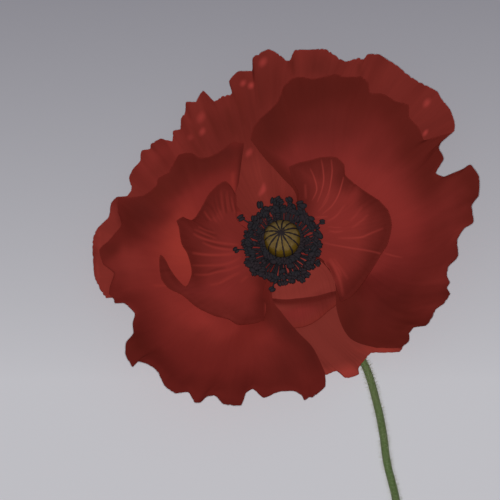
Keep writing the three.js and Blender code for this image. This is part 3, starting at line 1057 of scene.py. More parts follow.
def shading_share(finish: Finish, petal: Petal, tone: ShadingPatch, drifted: Socket) -> Socket:
    """How much a soft patch of painted light and shade shows at each point.

    Args:
        finish: The material in the making.
        petal: The petal that it lies on.
        tone: The soft patch of painted light and shade.
        drifted: Where a point lies, stirred a little.

    Returns:
        Its share, from 0 to 1.
    """
    x, y = on_surface([tone.at], petal.saucer.height)[0] * MM
    inputs = {
        "Vector": drifted if max(tone.half) > 2.0 else finish.place(),
        "Location": (AXIS[0] + x, AXIS[1] + y, 0.0),
        "Rotation": (0.0, 0.0, math.radians(tone.turn)),
        "Scale": (tone.half[0] * MM, tone.half[1] * MM, 10.0),
    }
    local = finish.node("ShaderNodeMapping", inputs, vector_type="TEXTURE").outputs[0]
    away = finish.node("ShaderNodeVectorMath", {0: local}, operation="LENGTH").outputs["Value"]
    return finish.eased(away, 0.0, 1.0, tone.strength, 0.0)


# Rim colours for the thin line along the very margin: a painted edge highlight for the rear petals, and a dark margin
# line.
RED_RIM_HIGHLIGHT = paint(120, 38, 32)
DARK_RIM = paint(94, 28, 23)
# Painted highlights: small soft light spots on the rear upper petal.
REAR_HIGHLIGHT = paint(150, 54, 50)
HIGHLIGHT_TURN = -35.0


def highlight_spots(*rows: tuple[float, ...]) -> tuple[ShadingPatch, ...]:
    """Small soft painted highlights on a rear petal, each as point x and y, two half sizes and strength."""
    return tuple(ShadingPatch(row[:2], row[2:4], HIGHLIGHT_TURN, REAR_HIGHLIGHT, row[4]) for row in rows)


REAR_UPPER = Petal(
    "petal_rear_upper", Layer.REAR, (32, 196),
    first_side=((326, 222), (385, 180)), last_side=((220, 276), (160, 298)),
    margin=(
        (448.5, 136), (454.5, 130.5), (454.5, 122), (450, 109), (441, 98), (437.5, 91.7), (427, 85.8),
        (416.3, 79.8), (409.5, 75.5), (396, 64.5), (387, 59), (379, 54), (368, 54), (364, 59), (358, 57.5),
        (346, 61.5), (335, 54.5), (325, 48.5), (309, 49.5), (295, 50), (290, 60), (286, 60), (280.5, 55),
        (268.5, 49), (253, 57), (252, 70), (238, 71), (229, 81), (232, 93), (222, 96), (214, 101), (203, 90.5),
        (195.5, 101.5), (186, 102), (185, 112), (181, 118), (180, 129), (173, 131), (172, 141), (160.5, 138.5),
        (151, 144), (150, 149), (141, 151), (140, 161), (133, 169), (129, 178), (131.5, 189), (127, 196),
        (117, 197), (111, 204), (109, 217), (97, 229.5), (93, 240), (93, 254), (95, 277), (101.5, 291), (107, 298),
        (110, 295), (120, 295),
    ),
    saucer=Saucer(4.6, 1.4, 22, 8.2, 47, 1.5, (Rest(78, 9, 16, -0.5), Rest(150, 9, 16, -0.5))),
    waves=(Wave(13, 0.8, 0.1, 8), Wave(5.5, 0.7, 0.4, 4)),
    seed=11, crinkle=0.06, notch=1.8, calm_reach=6.5,
    finish=PetalFinish(
        body=paint(104, 35, 30), border_shade=paint(102, 34, 29), rim=RED_RIM_HIGHLIGHT, margin_reach=(0.5, 6.0),
        margin_strength=0.35, streaks=0.06, vein=paint(136, 50, 44), pleat=paint(84, 27, 21),
        shading_patches=(
            *shading_patches(
                (165, 165, 14, 9, 40, 116, 38, 34, 0.9), (106, 250, 7, 18, 0, 124, 45, 39, 0.9),
                (266, 192, 13, 15, 0, 119, 43, 37, 0.9), (103, 285, 5, 8, 0, 124, 46, 40, 0.8),
                (230, 126, 12, 10, -30, 88, 28, 23, 0.85), (254, 108, 6, 8, 0, 90, 29, 24, 0.6),
                (212, 143, 7, 5, 0, 94, 30, 26, 0.6), (112, 209, 4, 5, 0, 136, 50, 44, 0.9),
                (270, 84, 6, 9, 0, 91, 29, 24, 0.8), (241, 98, 4, 4, 0, 90, 29, 23, 0.6),
                (318, 66, 9, 3.5, 0, 90, 30, 25, 0.8), (162, 171, 7, 4, 36, 98, 32, 27, 0.85),
                (193, 149, 7, 4, 20, 98, 32, 27, 0.7), (256, 72, 7, 9, 0, 94, 31, 26, 0.6),
            ),
            *highlight_spots(
                (263, 62, 1.4, 1.9, 0.9), (251, 84, 1.1, 1.4, 0.9), (243, 82, 1.0, 1.5, 0.9),
                (427, 103, 1.2, 1.8, 0.75), (425.5, 133, 0.8, 1.4, 0.9), (249, 153, 1.1, 1.8, 0.6),
                (260, 191, 1.2, 2.1, 0.9), (201, 118, 1.5, 2.0, 0.5), (202, 132, 1.1, 1.5, 0.55),
                (190, 137, 1.1, 1.3, 0.4),
            ),
        ),
        strokes=strokes(
            (0.3, 0.4, 100, 232, 98.5, 262, 98.5, 290), (0.6, -0.5, 190, 122, 199, 137, 207, 151),
            (0.6, -0.45, 205, 111, 214, 128, 220, 143), (0.8, -0.5, 226, 108, 231, 122, 235, 137),
            (0.6, -0.4, 238, 100, 241, 112, 245, 126), (0.7, -0.4, 258, 70, 260, 90, 262, 110),
            (0.5, -0.6, 293, 60, 293, 68, 294, 77), (0.8, -0.5, 360, 62, 360, 70, 361, 77),
            (0.5, -0.3, 190, 140, 198, 152, 205, 162),
        ),
    ),
)

REAR_LOWER = Petal(
    "petal_rear_lower", Layer.REAR, (252, 334),
    first_side=((270, 284), (284, 328)), last_side=((322, 276), (352, 308), (386, 330)),
    margin=(
        (312, 372), (325, 374.5), (336, 370.5), (345, 377.5), (352, 376.3), (358.3, 373.5), (358, 368),
        (364, 359.5), (371, 352.6), (386, 352.3), (399, 351.3), (403, 345), (406, 336),
    ),
    saucer=Saucer(4.6, 2.75, 10, 5.0, 40, 2.2), waves=(Wave(2.5, 0.5, 0.2, 4),),
    seed=12, columns=160, rows=64, crinkle=0.02,
    finish=PetalFinish(
        body=paint(112, 42, 36), border_shade=paint(112, 41, 35), rim=RED_RIM_HIGHLIGHT, margin_strength=0.2, streaks=0.02,
        fibres=16.0,
        shading_patches=shading_patches((348, 374, 9, 4, 0, 140, 51, 44, 0.9), (386, 350, 9, 2.5, 0, 134, 46, 38, 0.8)),
    ),
)

LOWER_SMALL = Petal(
    "petal_lower_small", Layer.INNER, (262, 342),
    first_side=((267, 288),), last_side=((331, 263),),
    margin=(
        (272, 318), (279, 324), (287, 327), (295, 328), (303, 327), (311, 324), (319, 319), (327, 312), (335, 306),
        (343, 299),
    ),
    saucer=Saucer(5.5, 4.05, 10, 4.0, 20, 1), waves=(),
    seed=13, columns=160, rows=64, crinkle=0.03, notch=0.3, crease=Crease(0.63, 0.88, 0.45, 0.08, 1.1),
    finish=PetalFinish(
        body=paint(122, 46, 40), border_shade=paint(104, 33, 27), rim=DARK_RIM, margin_reach=(0.2, 2.2),
        margin_strength=0.7, streaks=0.04, fibres=40.0, pleat=paint(82, 24, 20),
        shading_patches=shading_patches(
            (300, 314, 12, 4, 8, 104, 33, 30, 0.9), (304, 313, 6, 2.4, 8, 116, 38, 35, 0.9),
            (326, 305, 6, 4, 0, 94, 30, 26, 0.8),
        ),
    ),
)

RIGHT = Petal(
    "petal_right", Layer.FRONT, (-22, 70),
    first_side=((319, 260), (334, 280), (337, 312), (350, 338)), last_side=((297, 199), (281, 176), (263, 156)),
    margin=(
        (376, 347.3), (399, 347.3), (408, 340.5), (408.5, 333), (413, 327), (425, 325), (430.5, 318.5), (435, 309),
        (443, 303), (449, 294), (446, 288), (449, 282), (446, 276), (448, 266), (457.2, 256.7), (456.5, 240),
        (463.5, 228.5), (472.5, 222.5), (471, 205.5), (478, 195.5), (478.3, 177), (470, 165), (463, 169),
        (450, 174.5), (443, 177), (435.5, 173), (443.3, 159), (438.3, 148), (443, 140), (452, 133), (442, 135.5),
        (432, 138.5), (423.5, 140.5), (418, 127), (409, 118), (408, 105), (396, 102), (383, 94), (370, 93),
        (368, 83), (361, 77), (344, 77), (336, 74), (324, 77), (313, 79), (302, 77), (293, 78), (284, 86),
        (281, 94), (277.5, 102), (270, 110), (259.5, 119.5), (253, 128), (250.5, 139),
    ),
    saucer=Saucer(6.4, 5.1, 21, 13.2, 44, 1.6, (Rest(3, 3, 34, -0.9),)),
    waves=(Wave(12, 0.4, 0.3, 9), Wave(4.5, 0.45, 0.1, 4.5)),
    seed=14, calm_reach=6.5,
    finish=PetalFinish(
        body=paint(112, 36, 33), border_shade=paint(84, 25, 20), rim=DARK_RIM, margin_reach=(1.5, 12.5), first_reach=10.0,
        last_reach=4.5, vein=paint(150, 56, 50),
        shading_patches=shading_patches(
            (372, 188, 22, 9, -38, 121, 40, 36, 0.9), (318, 124, 20, 11, 0, 84, 26, 22, 0.85),
            (413, 204, 7, 13, -10, 128, 43, 39, 0.75), (374, 150, 7, 6, 0, 100, 32, 28, 0.8),
            (392, 168, 5, 4, -40, 106, 34, 30, 0.6), (425, 235, 8, 16, 0, 116, 37, 34, 0.8),
            (388, 308, 17, 12, 20, 83, 25, 21, 0.95), (415, 150, 8, 7, -40, 88, 26, 21, 0.85),
        ),
        margin_shading_patches=shading_patches(
            (451, 222, 7, 16, 5, 112, 37, 33, 0.8), (436, 268, 9, 14, 0, 110, 36, 32, 0.85),
            (402, 268, 8, 5, 0, 108, 35, 32, 0.7), (318, 92, 17, 7, 0, 76, 22, 17, 0.85),
            (272, 120, 8, 12, 0, 75, 22, 17, 0.85), (353, 320, 5, 12, 0, 76, 23, 18, 0.7),
            (428, 310, 5, 6, 0, 98, 30, 26, 0.7),
        ),
        strokes=strokes((0.2, 0.4, 384, 254, 392, 256, 402, 258)),
    ),
)

LEFT = Petal(
    "petal_left", Layer.FRONT, (140, 254),
    first_side=((237, 206), (239, 180)), last_side=((272, 296), (282, 313), (297, 331), (313, 348)),
    margin=(
        (244, 143), (233, 142), (220.5, 151), (209, 157), (200, 158), (191, 153), (179, 155), (172.5, 166),
        (168.5, 173), (158.5, 178.5), (156.5, 186), (144.5, 195.5), (129, 198), (119, 199), (118, 211), (122, 225),
        (110, 240), (100, 250), (104, 264), (115, 273), (111, 286), (110, 294), (114, 298), (116, 303), (125, 303),
        (135.3, 313), (133.3, 323), (134, 333), (127, 342), (126.5, 354), (133.5, 366), (138, 360.5), (148, 363),
        (157, 369), (162, 378), (166, 385.5), (176, 392), (189, 391), (195, 401), (201, 401), (208, 395),
        (216, 395), (224, 403), (241, 404), (246, 392), (253, 388), (263.5, 396.8), (279, 390.7), (293, 390),
        (301, 394), (304, 399), (309, 396), (312.5, 396), (324.7, 385.5), (324.5, 372),
    ),
    saucer=Saucer(6.4, 5.1, 21, 13.0, 44, 1.6, (Rest(227, 3, 34, -0.9),)),
    waves=(Wave(13, 0.4, 0.6, 9), Wave(4.5, 0.7, 0.7, 4.5)),
    seed=15, calm_reach=6.5,
    finish=PetalFinish(
        body=paint(114, 36, 32), border_shade=paint(94, 28, 24), rim=DARK_RIM, margin_reach=(1.0, 9.5), last_reach=9.0,
        vein=paint(146, 50, 42), pleat=paint(72, 20, 16),
        shading_patches=shading_patches(
            (186, 250, 11, 15, 15, 142, 49, 41, 0.95), (200, 330, 22, 9, -30, 120, 40, 35, 0.85),
            (196, 316, 9, 4, -20, 134, 45, 40, 0.7), (248, 336, 9, 8, 0, 122, 40, 35, 0.8),
            (150, 215, 9, 9, 30, 84, 24, 20, 0.7),
        ),
        margin_shading_patches=shading_patches(
            (130, 268, 9, 8, 0, 125, 43, 38, 0.85), (142, 210, 8, 7, 30, 79, 24, 20, 0.9),
            (161, 188, 8, 5, 36, 84, 26, 20, 0.8), (128, 226, 6, 9, 0, 78, 23, 18, 0.6),
            (205, 163, 7, 4, 20, 76, 23, 18, 0.65), (220, 158, 6, 4, 0, 82, 25, 20, 0.6),
            (190, 162, 8, 4, 15, 79, 24, 19, 0.4), (108, 250, 4, 4, 0, 84, 26, 21, 0.8),
            (230, 392, 5, 4, 0, 104, 33, 28, 0.6), (131, 351, 5, 9, 0, 80, 24, 19, 0.6),
            (149, 352, 5, 4, 30, 98, 30, 25, 0.5), (182, 172, 9, 6, 36, 82, 25, 20, 0.75),
            (137, 347, 7, 6, 0, 88, 26, 21, 0.7), (207, 388, 8, 5, 0, 108, 34, 29, 0.8),
            (290, 326, 6, 9, 40, 76, 23, 19, 0.8), (311, 352, 4, 8, 25, 76, 23, 19, 0.8),
            (269, 312, 4, 6, 20, 84, 26, 21, 0.7), (286, 364, 11, 10, -30, 86, 26, 22, 0.85),
            (220, 150, 9, 3, -15, 80, 24, 20, 0.8),
        ),
        strokes=strokes(
            (0.85, -0.95, 243.5, 141, 240.5, 176, 237.5, 212), (0.5, 0.3, 233, 172, 233, 182, 235, 192),
            (0.3, 0.25, 153, 286, 162, 286, 170, 285), (0.3, 0.25, 160, 268, 166, 269, 172, 270),
        ),
    ),
)

INNER_RIGHT = Petal(
    "petal_inner_right", Layer.INNER, (-24, 66),
    first_side=((320, 258), (333, 278)), last_side=((299, 200), (293, 182)),
    margin=(
        (340, 302), (350, 297), (360, 286), (366, 277), (371, 270), (377, 260), (382, 252), (386, 246), (389, 237),
        (391, 226), (390, 218), (387, 210), (379, 201), (370, 195), (361, 189), (352, 182), (345, 175), (344, 165),
        (337, 158), (329, 157), (319, 158), (308, 161), (298, 163), (289, 167),
    ),
    saucer=Saucer(7.38, 7.0, 9, 11.8, 26, 1.6), waves=(Wave(2.5, 0.5, 0.15, 3),),
    seed=16, columns=400, rows=90, crinkle=0.03, notch=0.5,
    finish=PetalFinish(
        body=paint(112, 37, 33), border_shade=paint(84, 25, 21), rim=DARK_RIM, margin_reach=(0.4, 6.0), last_reach=6.0,
        fibres=60.0, vein=paint(150, 54, 48), pleat=paint(84, 25, 21),
        shading_patches=shading_patches(
            (346, 224, 9, 9, 0, 122, 40, 36, 0.9), (339, 286, 3, 6, 0, 104, 34, 30, 0.8),
            (319, 181, 5, 5, 0, 104, 33, 29, 0.7), (371, 229, 4, 6, 0, 102, 33, 29, 0.7),
            (352, 285, 4, 5, 0, 102, 32, 28, 0.6), (331, 268, 5, 6, 0, 121, 40, 35, 0.7),
        ),
        margin_shading_patches=shading_patches((351, 196, 4, 3.5, -40, 120, 39, 35, 0.85), (322, 168, 7, 3, 0, 90, 28, 24, 0.7)),
        strokes=strokes(
            (0.15, 0.6, 310, 169, 314, 178, 316.5, 187, 316, 193, 312, 201),
            (0.15, 0.6, 321, 160, 323, 171, 323.5, 182, 321, 193, 317, 203),
            (0.15, 0.6, 331, 160, 332, 171, 331, 181, 328.5, 193, 322, 206),
            (0.15, 0.6, 343.5, 177, 341.5, 185, 338, 196, 332, 206, 322, 215),
            (0.3, 0.25, 305, 184, 305.5, 192, 306, 200), (0.25, 0.35, 345, 205, 338.5, 213.5, 334, 218, 327, 222),
            (0.3, 0.3, 368, 215, 360, 222.5, 351, 229), (0.3, 0.25, 362, 208, 355, 216, 350, 222),
            (0.25, 0.35, 329, 231, 335, 232.5, 343, 231.5),
            (0.25, 0.5, 337, 238.5, 352, 238.5, 361.5, 237.5, 371.5, 233.5, 383, 229),
            (0.22, 0.45, 323, 243, 334, 245.5, 352, 248.5, 369, 251, 386, 254.5),
            (0.2, 0.35, 314, 218, 321, 217.5, 328, 217), (0.15, 0.3, 328, 227, 335, 228, 342, 228),
            (0.2, 0.3, 330, 191, 326, 202, 318, 212), (0.3, 0.4, 329, 258.5, 334, 265, 339, 271, 341, 278),
            (0.4, 0.4, 329, 259, 334, 267.5, 338, 276, 340.5, 285, 342.5, 297),
            (0.3, 0.25, 333, 258, 340.5, 269, 348, 280), (0.4, -0.5, 326, 262, 331, 269, 335, 279),
        ),
    ),
)

INNER_LEFT = Petal(
    "petal_inner_left", Layer.INNER, (150, 242),
    first_side=((241, 225), (237, 211), (236, 196)), last_side=((263, 290), (266, 306)),
    margin=(
        (230, 185), (225, 181), (218, 185), (209, 194), (203, 205), (196, 217), (190, 221), (183, 217), (176, 222),
        (169, 236), (163, 248), (160, 258), (160, 268), (162, 279), (169, 288), (183, 295), (191, 302), (199, 308),
        (214, 315), (229, 319), (237, 324), (246, 324), (254, 323), (264, 320),
    ),
    bay=(
        (179, 227), (182, 244), (188, 255), (192, 272), (188, 285), (183, 285), (172, 272), (163, 257), (150, 250),
        (160, 222), (172, 214),
    ),
    saucer=Saucer(7.38, 7.0, 9, 11.2, 26, 1.6), waves=(Wave(1.5, 0.5, 0.6, 3),),
    seed=17, columns=400, rows=90, crinkle=0.03, notch=0.5,
    finish=PetalFinish(
        body=paint(106, 34, 30), border_shade=paint(86, 25, 21), rim=DARK_RIM, margin_reach=(0.4, 5.0), last_reach=5.0,
        fibres=60.0, vein=paint(136, 46, 40), pleat=paint(80, 24, 20),
        shading_patches=shading_patches(
            (230, 262, 6, 8, 0, 120, 39, 36, 0.9), (222, 290, 11, 5.5, 8, 118, 38, 35, 0.85),
            (203, 242, 7, 7, 0, 96, 31, 27, 0.8), (224, 202, 5, 5, 0, 98, 31, 26, 0.7),
            (200, 292, 5, 4, 0, 112, 36, 33, 0.7), (211, 229, 4, 4, 0, 95, 30, 26, 0.6),
        ),
        margin_shading_patches=shading_patches(
            (193, 291, 6, 4, -35, 104, 33, 30, 0.75), (221, 308, 9, 3.5, -15, 107, 35, 31, 0.75),
            (250, 289, 4, 6, 0, 113, 36, 32, 0.75),
        ),
        strokes=strokes(
            (0.25, 0.25, 221, 190, 222, 202, 223.5, 210, 225, 217), (0.25, 0.25, 225.5, 194, 227, 205, 229, 213),
            (0.25, 0.25, 231, 197, 233, 206, 235, 214), (0.25, 0.25, 217, 207, 220.5, 214, 223, 220),
            (0.25, 0.25, 213, 209, 217.5, 216, 221, 222), (0.3, 0.34, 208, 212, 213, 218, 217, 223),
            (0.3, -0.68, 224, 191, 225.5, 205, 226.5, 214), (0.3, -0.61, 229, 193, 230.5, 205, 233, 213),
            (0.35, -0.61, 217.5, 189, 219, 202, 221, 211), (0.5, -0.68, 211, 198, 206, 204, 201, 211, 197, 219),
            (0.3, -0.61, 213.5, 194, 215, 204, 218, 213), (0.3, -0.61, 209, 202, 213, 210, 216.5, 216),
            (0.3, -0.61, 205, 207, 209.5, 214, 213, 219), (0.3, -0.54, 200.5, 212, 205, 218, 209, 222),
            (0.25, 0.41, 204, 211, 208, 217, 212, 221.5), (0.3, -0.61, 233.5, 192, 234.5, 203, 236.5, 212),
            (0.25, 0.2, 227, 190, 228.5, 201, 231, 211), (0.3, -0.47, 196, 224, 204, 228, 213, 231),
            (0.25, 0.41, 198, 227, 206, 231, 216, 234), (0.3, 0.41, 194, 230, 201, 233, 208, 236, 217, 239),
            (0.35, -0.47, 200, 229, 208, 233, 217, 236.5), (0.3, -0.47, 193, 231.5, 203, 236, 213, 239),
            (0.3, 0.61, 193, 234, 200, 238, 211, 241.5, 224, 244, 239, 245),
            (0.3, -0.54, 205, 241.5, 215, 245, 225, 247, 235, 248),
            (0.3, 0.54, 202, 243, 213, 247.5, 224, 249.5, 234, 250),
            (0.35, 0.68, 192, 253.5, 204, 255, 217, 255.5, 230, 254.5, 240, 252),
            (0.3, 0.54, 192, 266, 207.5, 266, 223.5, 265, 234, 261.5, 241, 257),
            (0.3, 0.54, 194, 275, 207.5, 275, 217, 272.5, 230, 270, 240, 266),
            (0.35, 0.54, 210, 285.5, 220, 283, 230, 277.5, 240, 273), (0.35, 0.34, 240, 283, 248, 276),
            (0.35, -0.41, 206, 273.5, 216, 270, 226, 268), (0.35, 0.41, 265.5, 302, 266, 310, 266, 316),
        ),
    ),
)

PETALS = (REAR_UPPER, REAR_LOWER, LOWER_SMALL, RIGHT, LEFT, INNER_RIGHT, INNER_LEFT)


# The dark ring of stamens


@dataclass(frozen=True)
class StamenRing:
    """One ring: how many stamens, how far out and how high their heads stand, and how these vary."""

    count: int
    reach: float
    reach_spread: float
    head: float
    head_spread: float
    foot: float
    seed: int
    turn: float = 0.0
    jitter: float = 0.8
    narrowing: float = 0.07


@dataclass
class Stamens:
    """The collar and all the rings of stamens round the capsule's foot."""

    foot_radius: float = 3.3
    filament_radius: float = 0.17
    anther_length: float = 1.75
    anther_width: float = 1.3
    bend: float = 0.5
    rings: tuple[StamenRing, ...] = (
        StamenRing(32, 4.7, 0.2, 13.2, 0.3, 9.9, 3),
        StamenRing(34, 5.2, 0.25, 12.9, 0.3, 9.7, 5),
        StamenRing(10, 6.8, 0.5, 12.7, 0.3, 9.5, 34),
        StamenRing(42, 8.3, 0.3, 12.4, 0.4, 9.3, 8),
        StamenRing(48, 8.9, 0.3, 12.0, 0.4, 9.0, 13),
        StamenRing(46, 9.7, 0.45, 11.7, 0.5, 8.8, 21),
    )
    strays_px: Points = (
        (236, 250), (241, 218), (260, 205), (273, 201), (278, 199), (281, 202), (276, 204), (289, 200), (290, 204),
        (300, 204), (303, 206), (301, 208), (322, 222), (272, 289), (318, 264), (247, 263), (254, 274), (302, 280),
    )
    stray_head: float = 12.0
    stray_foot: float = 8.9
    first_stray_seed: int = 30
    collar: Points = ((2.75, 8.3), (3.5, 8.3), (3.8, 8.8), (3.75, 9.8), (3.4, 10.2), (2.75, 10.2))

    def build(self) -> None:
        """Grows the rings on the collar and hands the piece over."""
        dark = stamen_material()
        source = turned_piece(spline(self.collar, 16), 48, closed=True).to_object("collar", dark)
        grows = [self.inputs(ring, dark) for ring in (*self.rings, *self.strays())]
        tree = self.ring_tree(grows[0])
        for values in grows:
            tree.add_to(source, values)
        hand_over(grown(source, "stamens_dressed"), "stamens")

    def strays(self) -> list[StamenRing]:
        """Places the single stamens that lean out past the rings.

        Returns:
            A ring of one stamen for each picture point.
        """
        heads = on_surface(self.strays_px, lambda x, y: np.full_like(x, self.stray_head))
        still = {"reach_spread": 0.0, "head_spread": 0.0, "jitter": 0.0, "narrowing": 0.0}
        still |= {"count": 1, "head": self.stray_head, "foot": self.stray_foot}
        return [
            StamenRing(reach=math.hypot(x, y), turn=math.atan2(y, x), seed=seed, **still)
            for seed, (x, y) in enumerate(heads, self.first_stray_seed)
        ]

    def inputs(self, ring: StamenRing, dark: Material) -> dict[str, object]:
        """The tree's inputs for one ring.

        Args:
            ring: The ring.
            dark: The stamens' material.

        Returns:
            The values by name.
        """
        lengths = {
            "Reach": ring.reach, "Reach Spread": ring.reach_spread, "Head": ring.head,
            "Head Spread": ring.head_spread, "Foot": ring.foot, "Foot Radius": self.foot_radius,
            "Bend": self.bend, "Filament Radius": self.filament_radius,
            "Anther Length": self.anther_length, "Anther Width": self.anther_width,
        }
        values: dict[str, object] = {name: length * MM for name, length in lengths.items()}
        values |= {"Count": ring.count, "Turn": ring.turn, "Jitter": ring.jitter, "Narrowing": ring.narrowing}
        return values | {"Seed": ring.seed, "Material": dark}

    @staticmethod
    def ring_tree(values: dict[str, object]) -> Growth:
        """Builds the geometry tree that adds one ring of stamens.

        Args:
            values: The inputs of one ring.

        Returns:
            The tree.
        """
        tree = Growth("stamen_ring", values)
        given = tree.given
        index = tree.node("GeometryNodeInputIndex").outputs[0]
        jitter = tree.random(0.0, given["Jitter"], 1)
        share = tree.math("DIVIDE", tree.math("ADD", index, jitter), given["Count"])
        turn = tree.math("MULTIPLY_ADD", share, 2 * math.pi, given["Turn"])
        cosine, sine = tree.math("COSINE", turn), tree.math("SINE", turn)

        def varied(seed: int, size: str) -> Socket:
            """A length and its spread, drawn for each stamen."""
            return tree.math("MULTIPLY_ADD", tree.random(-1.0, 1.0, seed), given[f"{size} Spread"], given[size])

        def points_at(radius: Socket, height: Socket) -> Socket:
            """Sets out a point for each stamen at a radius and height, and returns them."""
            x = tree.math("MULTIPLY_ADD", radius, cosine, AXIS[0])
            y = tree.math("MULTIPLY_ADD", radius, sine, AXIS[1])
            inputs = {"Count": given["Count"], "Position": tree.vector(x, y, height)}
            return tree.node("GeometryNodePoints", inputs).outputs[0]

        sideways = tree.math("MULTIPLY", tree.math("MULTIPLY", cosine, cosine), given["Narrowing"])
        reach = tree.math("MULTIPLY", varied(2, "Reach"), tree.math("SUBTRACT", 1.0, sideways))
        head = varied(3, "Head")

        arc = {"Resolution": 5, "Start": (0, 0, 0), "Middle": (0.45, 1.0, 0.85), "End": (1, 0, 1)}
        arch = tree.node("GeometryNodeCurveQuadraticBezier", arc).outputs[0]
        out = tree.math("SUBTRACT", reach, given["Foot Radius"])
        sway = tree.math("MULTIPLY", tree.random(-1.0, 1.0, 4), given["Bend"])
        size = tree.vector(out, sway, tree.math("SUBTRACT", head, given["Foot"]))
        feet = points_at(given["Foot Radius"], given["Foot"])
        arches = tree.spread(Points=feet, Instance=arch, Rotation=tree.vector(0.0, 0.0, turn), Scale=size)
        curves = tree.node("GeometryNodeRealizeInstances", {0: arches}).outputs[0]
        filaments = tree.round_tube(curves, 5, given["Filament Radius"])

        ball = tree.node("GeometryNodeMeshUVSphere", {"Segments": 6, "Rings": 4, "Radius": 1.0}).outputs[0]
        half = tree.math("MULTIPLY", given["Anther Width"], 0.5)
        long = tree.math("MULTIPLY", given["Anther Length"], 0.5)
        scale = tree.vector(half, tree.math("MULTIPLY", half, LOBE_THICKNESS), long)
        sides = [tree.vector(0.0, tree.math("MULTIPLY", half, LOBE_OFFSET * side), 0.0) for side in (-1.0, 1.0)]
        placed = [{"Geometry": ball, "Translation": side, "Scale": scale} for side in sides]
        anther = tree.together(*(tree.node("GeometryNodeTransform", lobe).outputs[0] for lobe in placed))
        lean = tree.math("ADD", turn, tree.random(-0.7, 0.7, 7))
        tilt = tree.vector(tree.random(-1.2, 1.2, 5), tree.random(-0.2, 1.3, 6), lean)
        heads = points_at(reach, head)
        anthers = tree.spread(Points=heads, Instance=anther, Rotation=tilt, Scale=tree.random(0.8, 1.15, 8))
        tree.finish(tree.together(given["Geometry"], filaments, anthers))
        return tree


def stamen_material() -> Material:
    """Makes the near-black violet of filaments and dusty anthers.

    Returns:
        The material.
    """
    finish = Finish("stamen_dark", roughness=0.95, gloss=0.04)
    dust = finish.noise(finish.place(), scale=2600.0, detail=3.0, roughness=0.65)
    patch = finish.noise(finish.place(), scale=420.0)
    colour = finish.mixed(finish.eased(patch, 0.35, 0.65), paint(40, 34, 38), paint(35, 34, 38))
    colour = finish.mixed(finish.eased(dust, 0.55, 0.75, 0.0, 0.25), colour, paint(46, 40, 44))
    return finish.done(colour, dust, depth=0.03, strength=0.3)


# The capsule


@dataclass
class Capsule:
    """The seed capsule: an egg-shaped body under a low cap with its dark stigma rays."""

    base: float = 8.4
    widest: float = 15.4
    top: float = 20.1
    radius: float = 4.35
    rays: int = 13
    ray_width: float = 0.17
    ray_height: float = 0.16
    lobe_height: float = 0.22
    tip_offset: float = -0.35
    around: int = 208

    def build(self) -> None:
        """Models the capsule and hands it over."""
        data = turned_piece(self.profile(), self.around)
        x, y, z = data.points.T
        radius = np.hypot(x, y)
        turn = np.arctan2(y, x) * self.rays / (2 * np.pi)
        off_ray = np.abs(turn - np.round(turn))
        away = off_ray * 2 * np.pi / self.rays * radius
        on_cap = smooth(z, self.widest - 2.2, self.widest - 0.4)
        lobe = np.sqrt(np.clip(off_ray * 2, 0, 1)) * self.lobe_height * np.clip(radius / 3.0, 0, 1)
        ridge = np.exp(-((away / self.ray_width) ** 2)) * self.ray_height
        out = (lobe + ridge - self.lobe_height * 0.6) * on_cap
        crown = smooth(z, self.widest, self.top)
        data.points[:, :2] *= (1 + 0.75 * out / np.maximum(radius, 0.3))[:, None]
        data.points[:, 0] += self.tip_offset * crown
        data.points[:, 2] += 0.5 * out * crown
        data.maps["rays"] = np.column_stack([away, data.points[:, 2]])
        hand_over(data.to_object("capsule_dressed", self.material()), "capsule")

    def profile(self) -> Array:
        """Draws the outline from the foot to the tip.

        Returns:
            Radius and height of each ring.
        """
        base, widest, cap = self.base, self.widest, self.top - self.widest
        low = [(1.5, base), (1.8, base + 0.5), (2.4, base + 2), (3.7, base + 4), (4.2, widest - 1.2)]
        high = [(4.25, widest + 0.28 * cap), (3.6, widest + 0.56 * cap), (2.5, widest + 0.8 * cap)]
        tip = [(1.2, widest + 0.94 * cap), (0.25, self.top - 0.02)]
        return spline([*low, (self.radius - 0.05, widest), *high, *tip], 70)

    def material(self) -> Material:
        """Makes the khaki cap with dark rays over the yellow-olive body.

        Returns:
            The material.
        """
        finish = Finish("capsule_skin", roughness=0.75, gloss=0.08)
        away, height = finish.painted_map("rays")
        cloud = finish.noise(finish.place(), scale=700.0, detail=3.0, roughness=0.6)
        pores = finish.noise(finish.place(), scale=3200.0)
        cap = finish.mixed(finish.eased(cloud, 0.35, 0.7), paint(88, 71, 38), paint(104, 86, 50))
        low = finish.mixed(cloud, paint(90, 70, 8), paint(74, 58, 20))
        ragged = finish.math("MULTIPLY_ADD", cloud, 1.6, height)
        colour = finish.mixed(finish.eased(ragged, self.widest + 2.6, self.widest + 3.5), low, cap)
        uneven = finish.math("MULTIPLY_ADD", finish.noise(finish.place(), scale=1100.0), 0.5, -0.25)
        line = finish.eased(finish.math("ADD", away, uneven), 0.12, 0.28, 0.97, 0.0)
        reach = finish.eased(height, self.widest - 2.4, self.widest - 1.0)
        colour = finish.mixed(finish.math("MULTIPLY", line, reach), colour, paint(30, 25, 29))
        return finish.done(colour, finish.math("ADD", pores, cloud), depth=0.06, strength=0.5)


# The stem


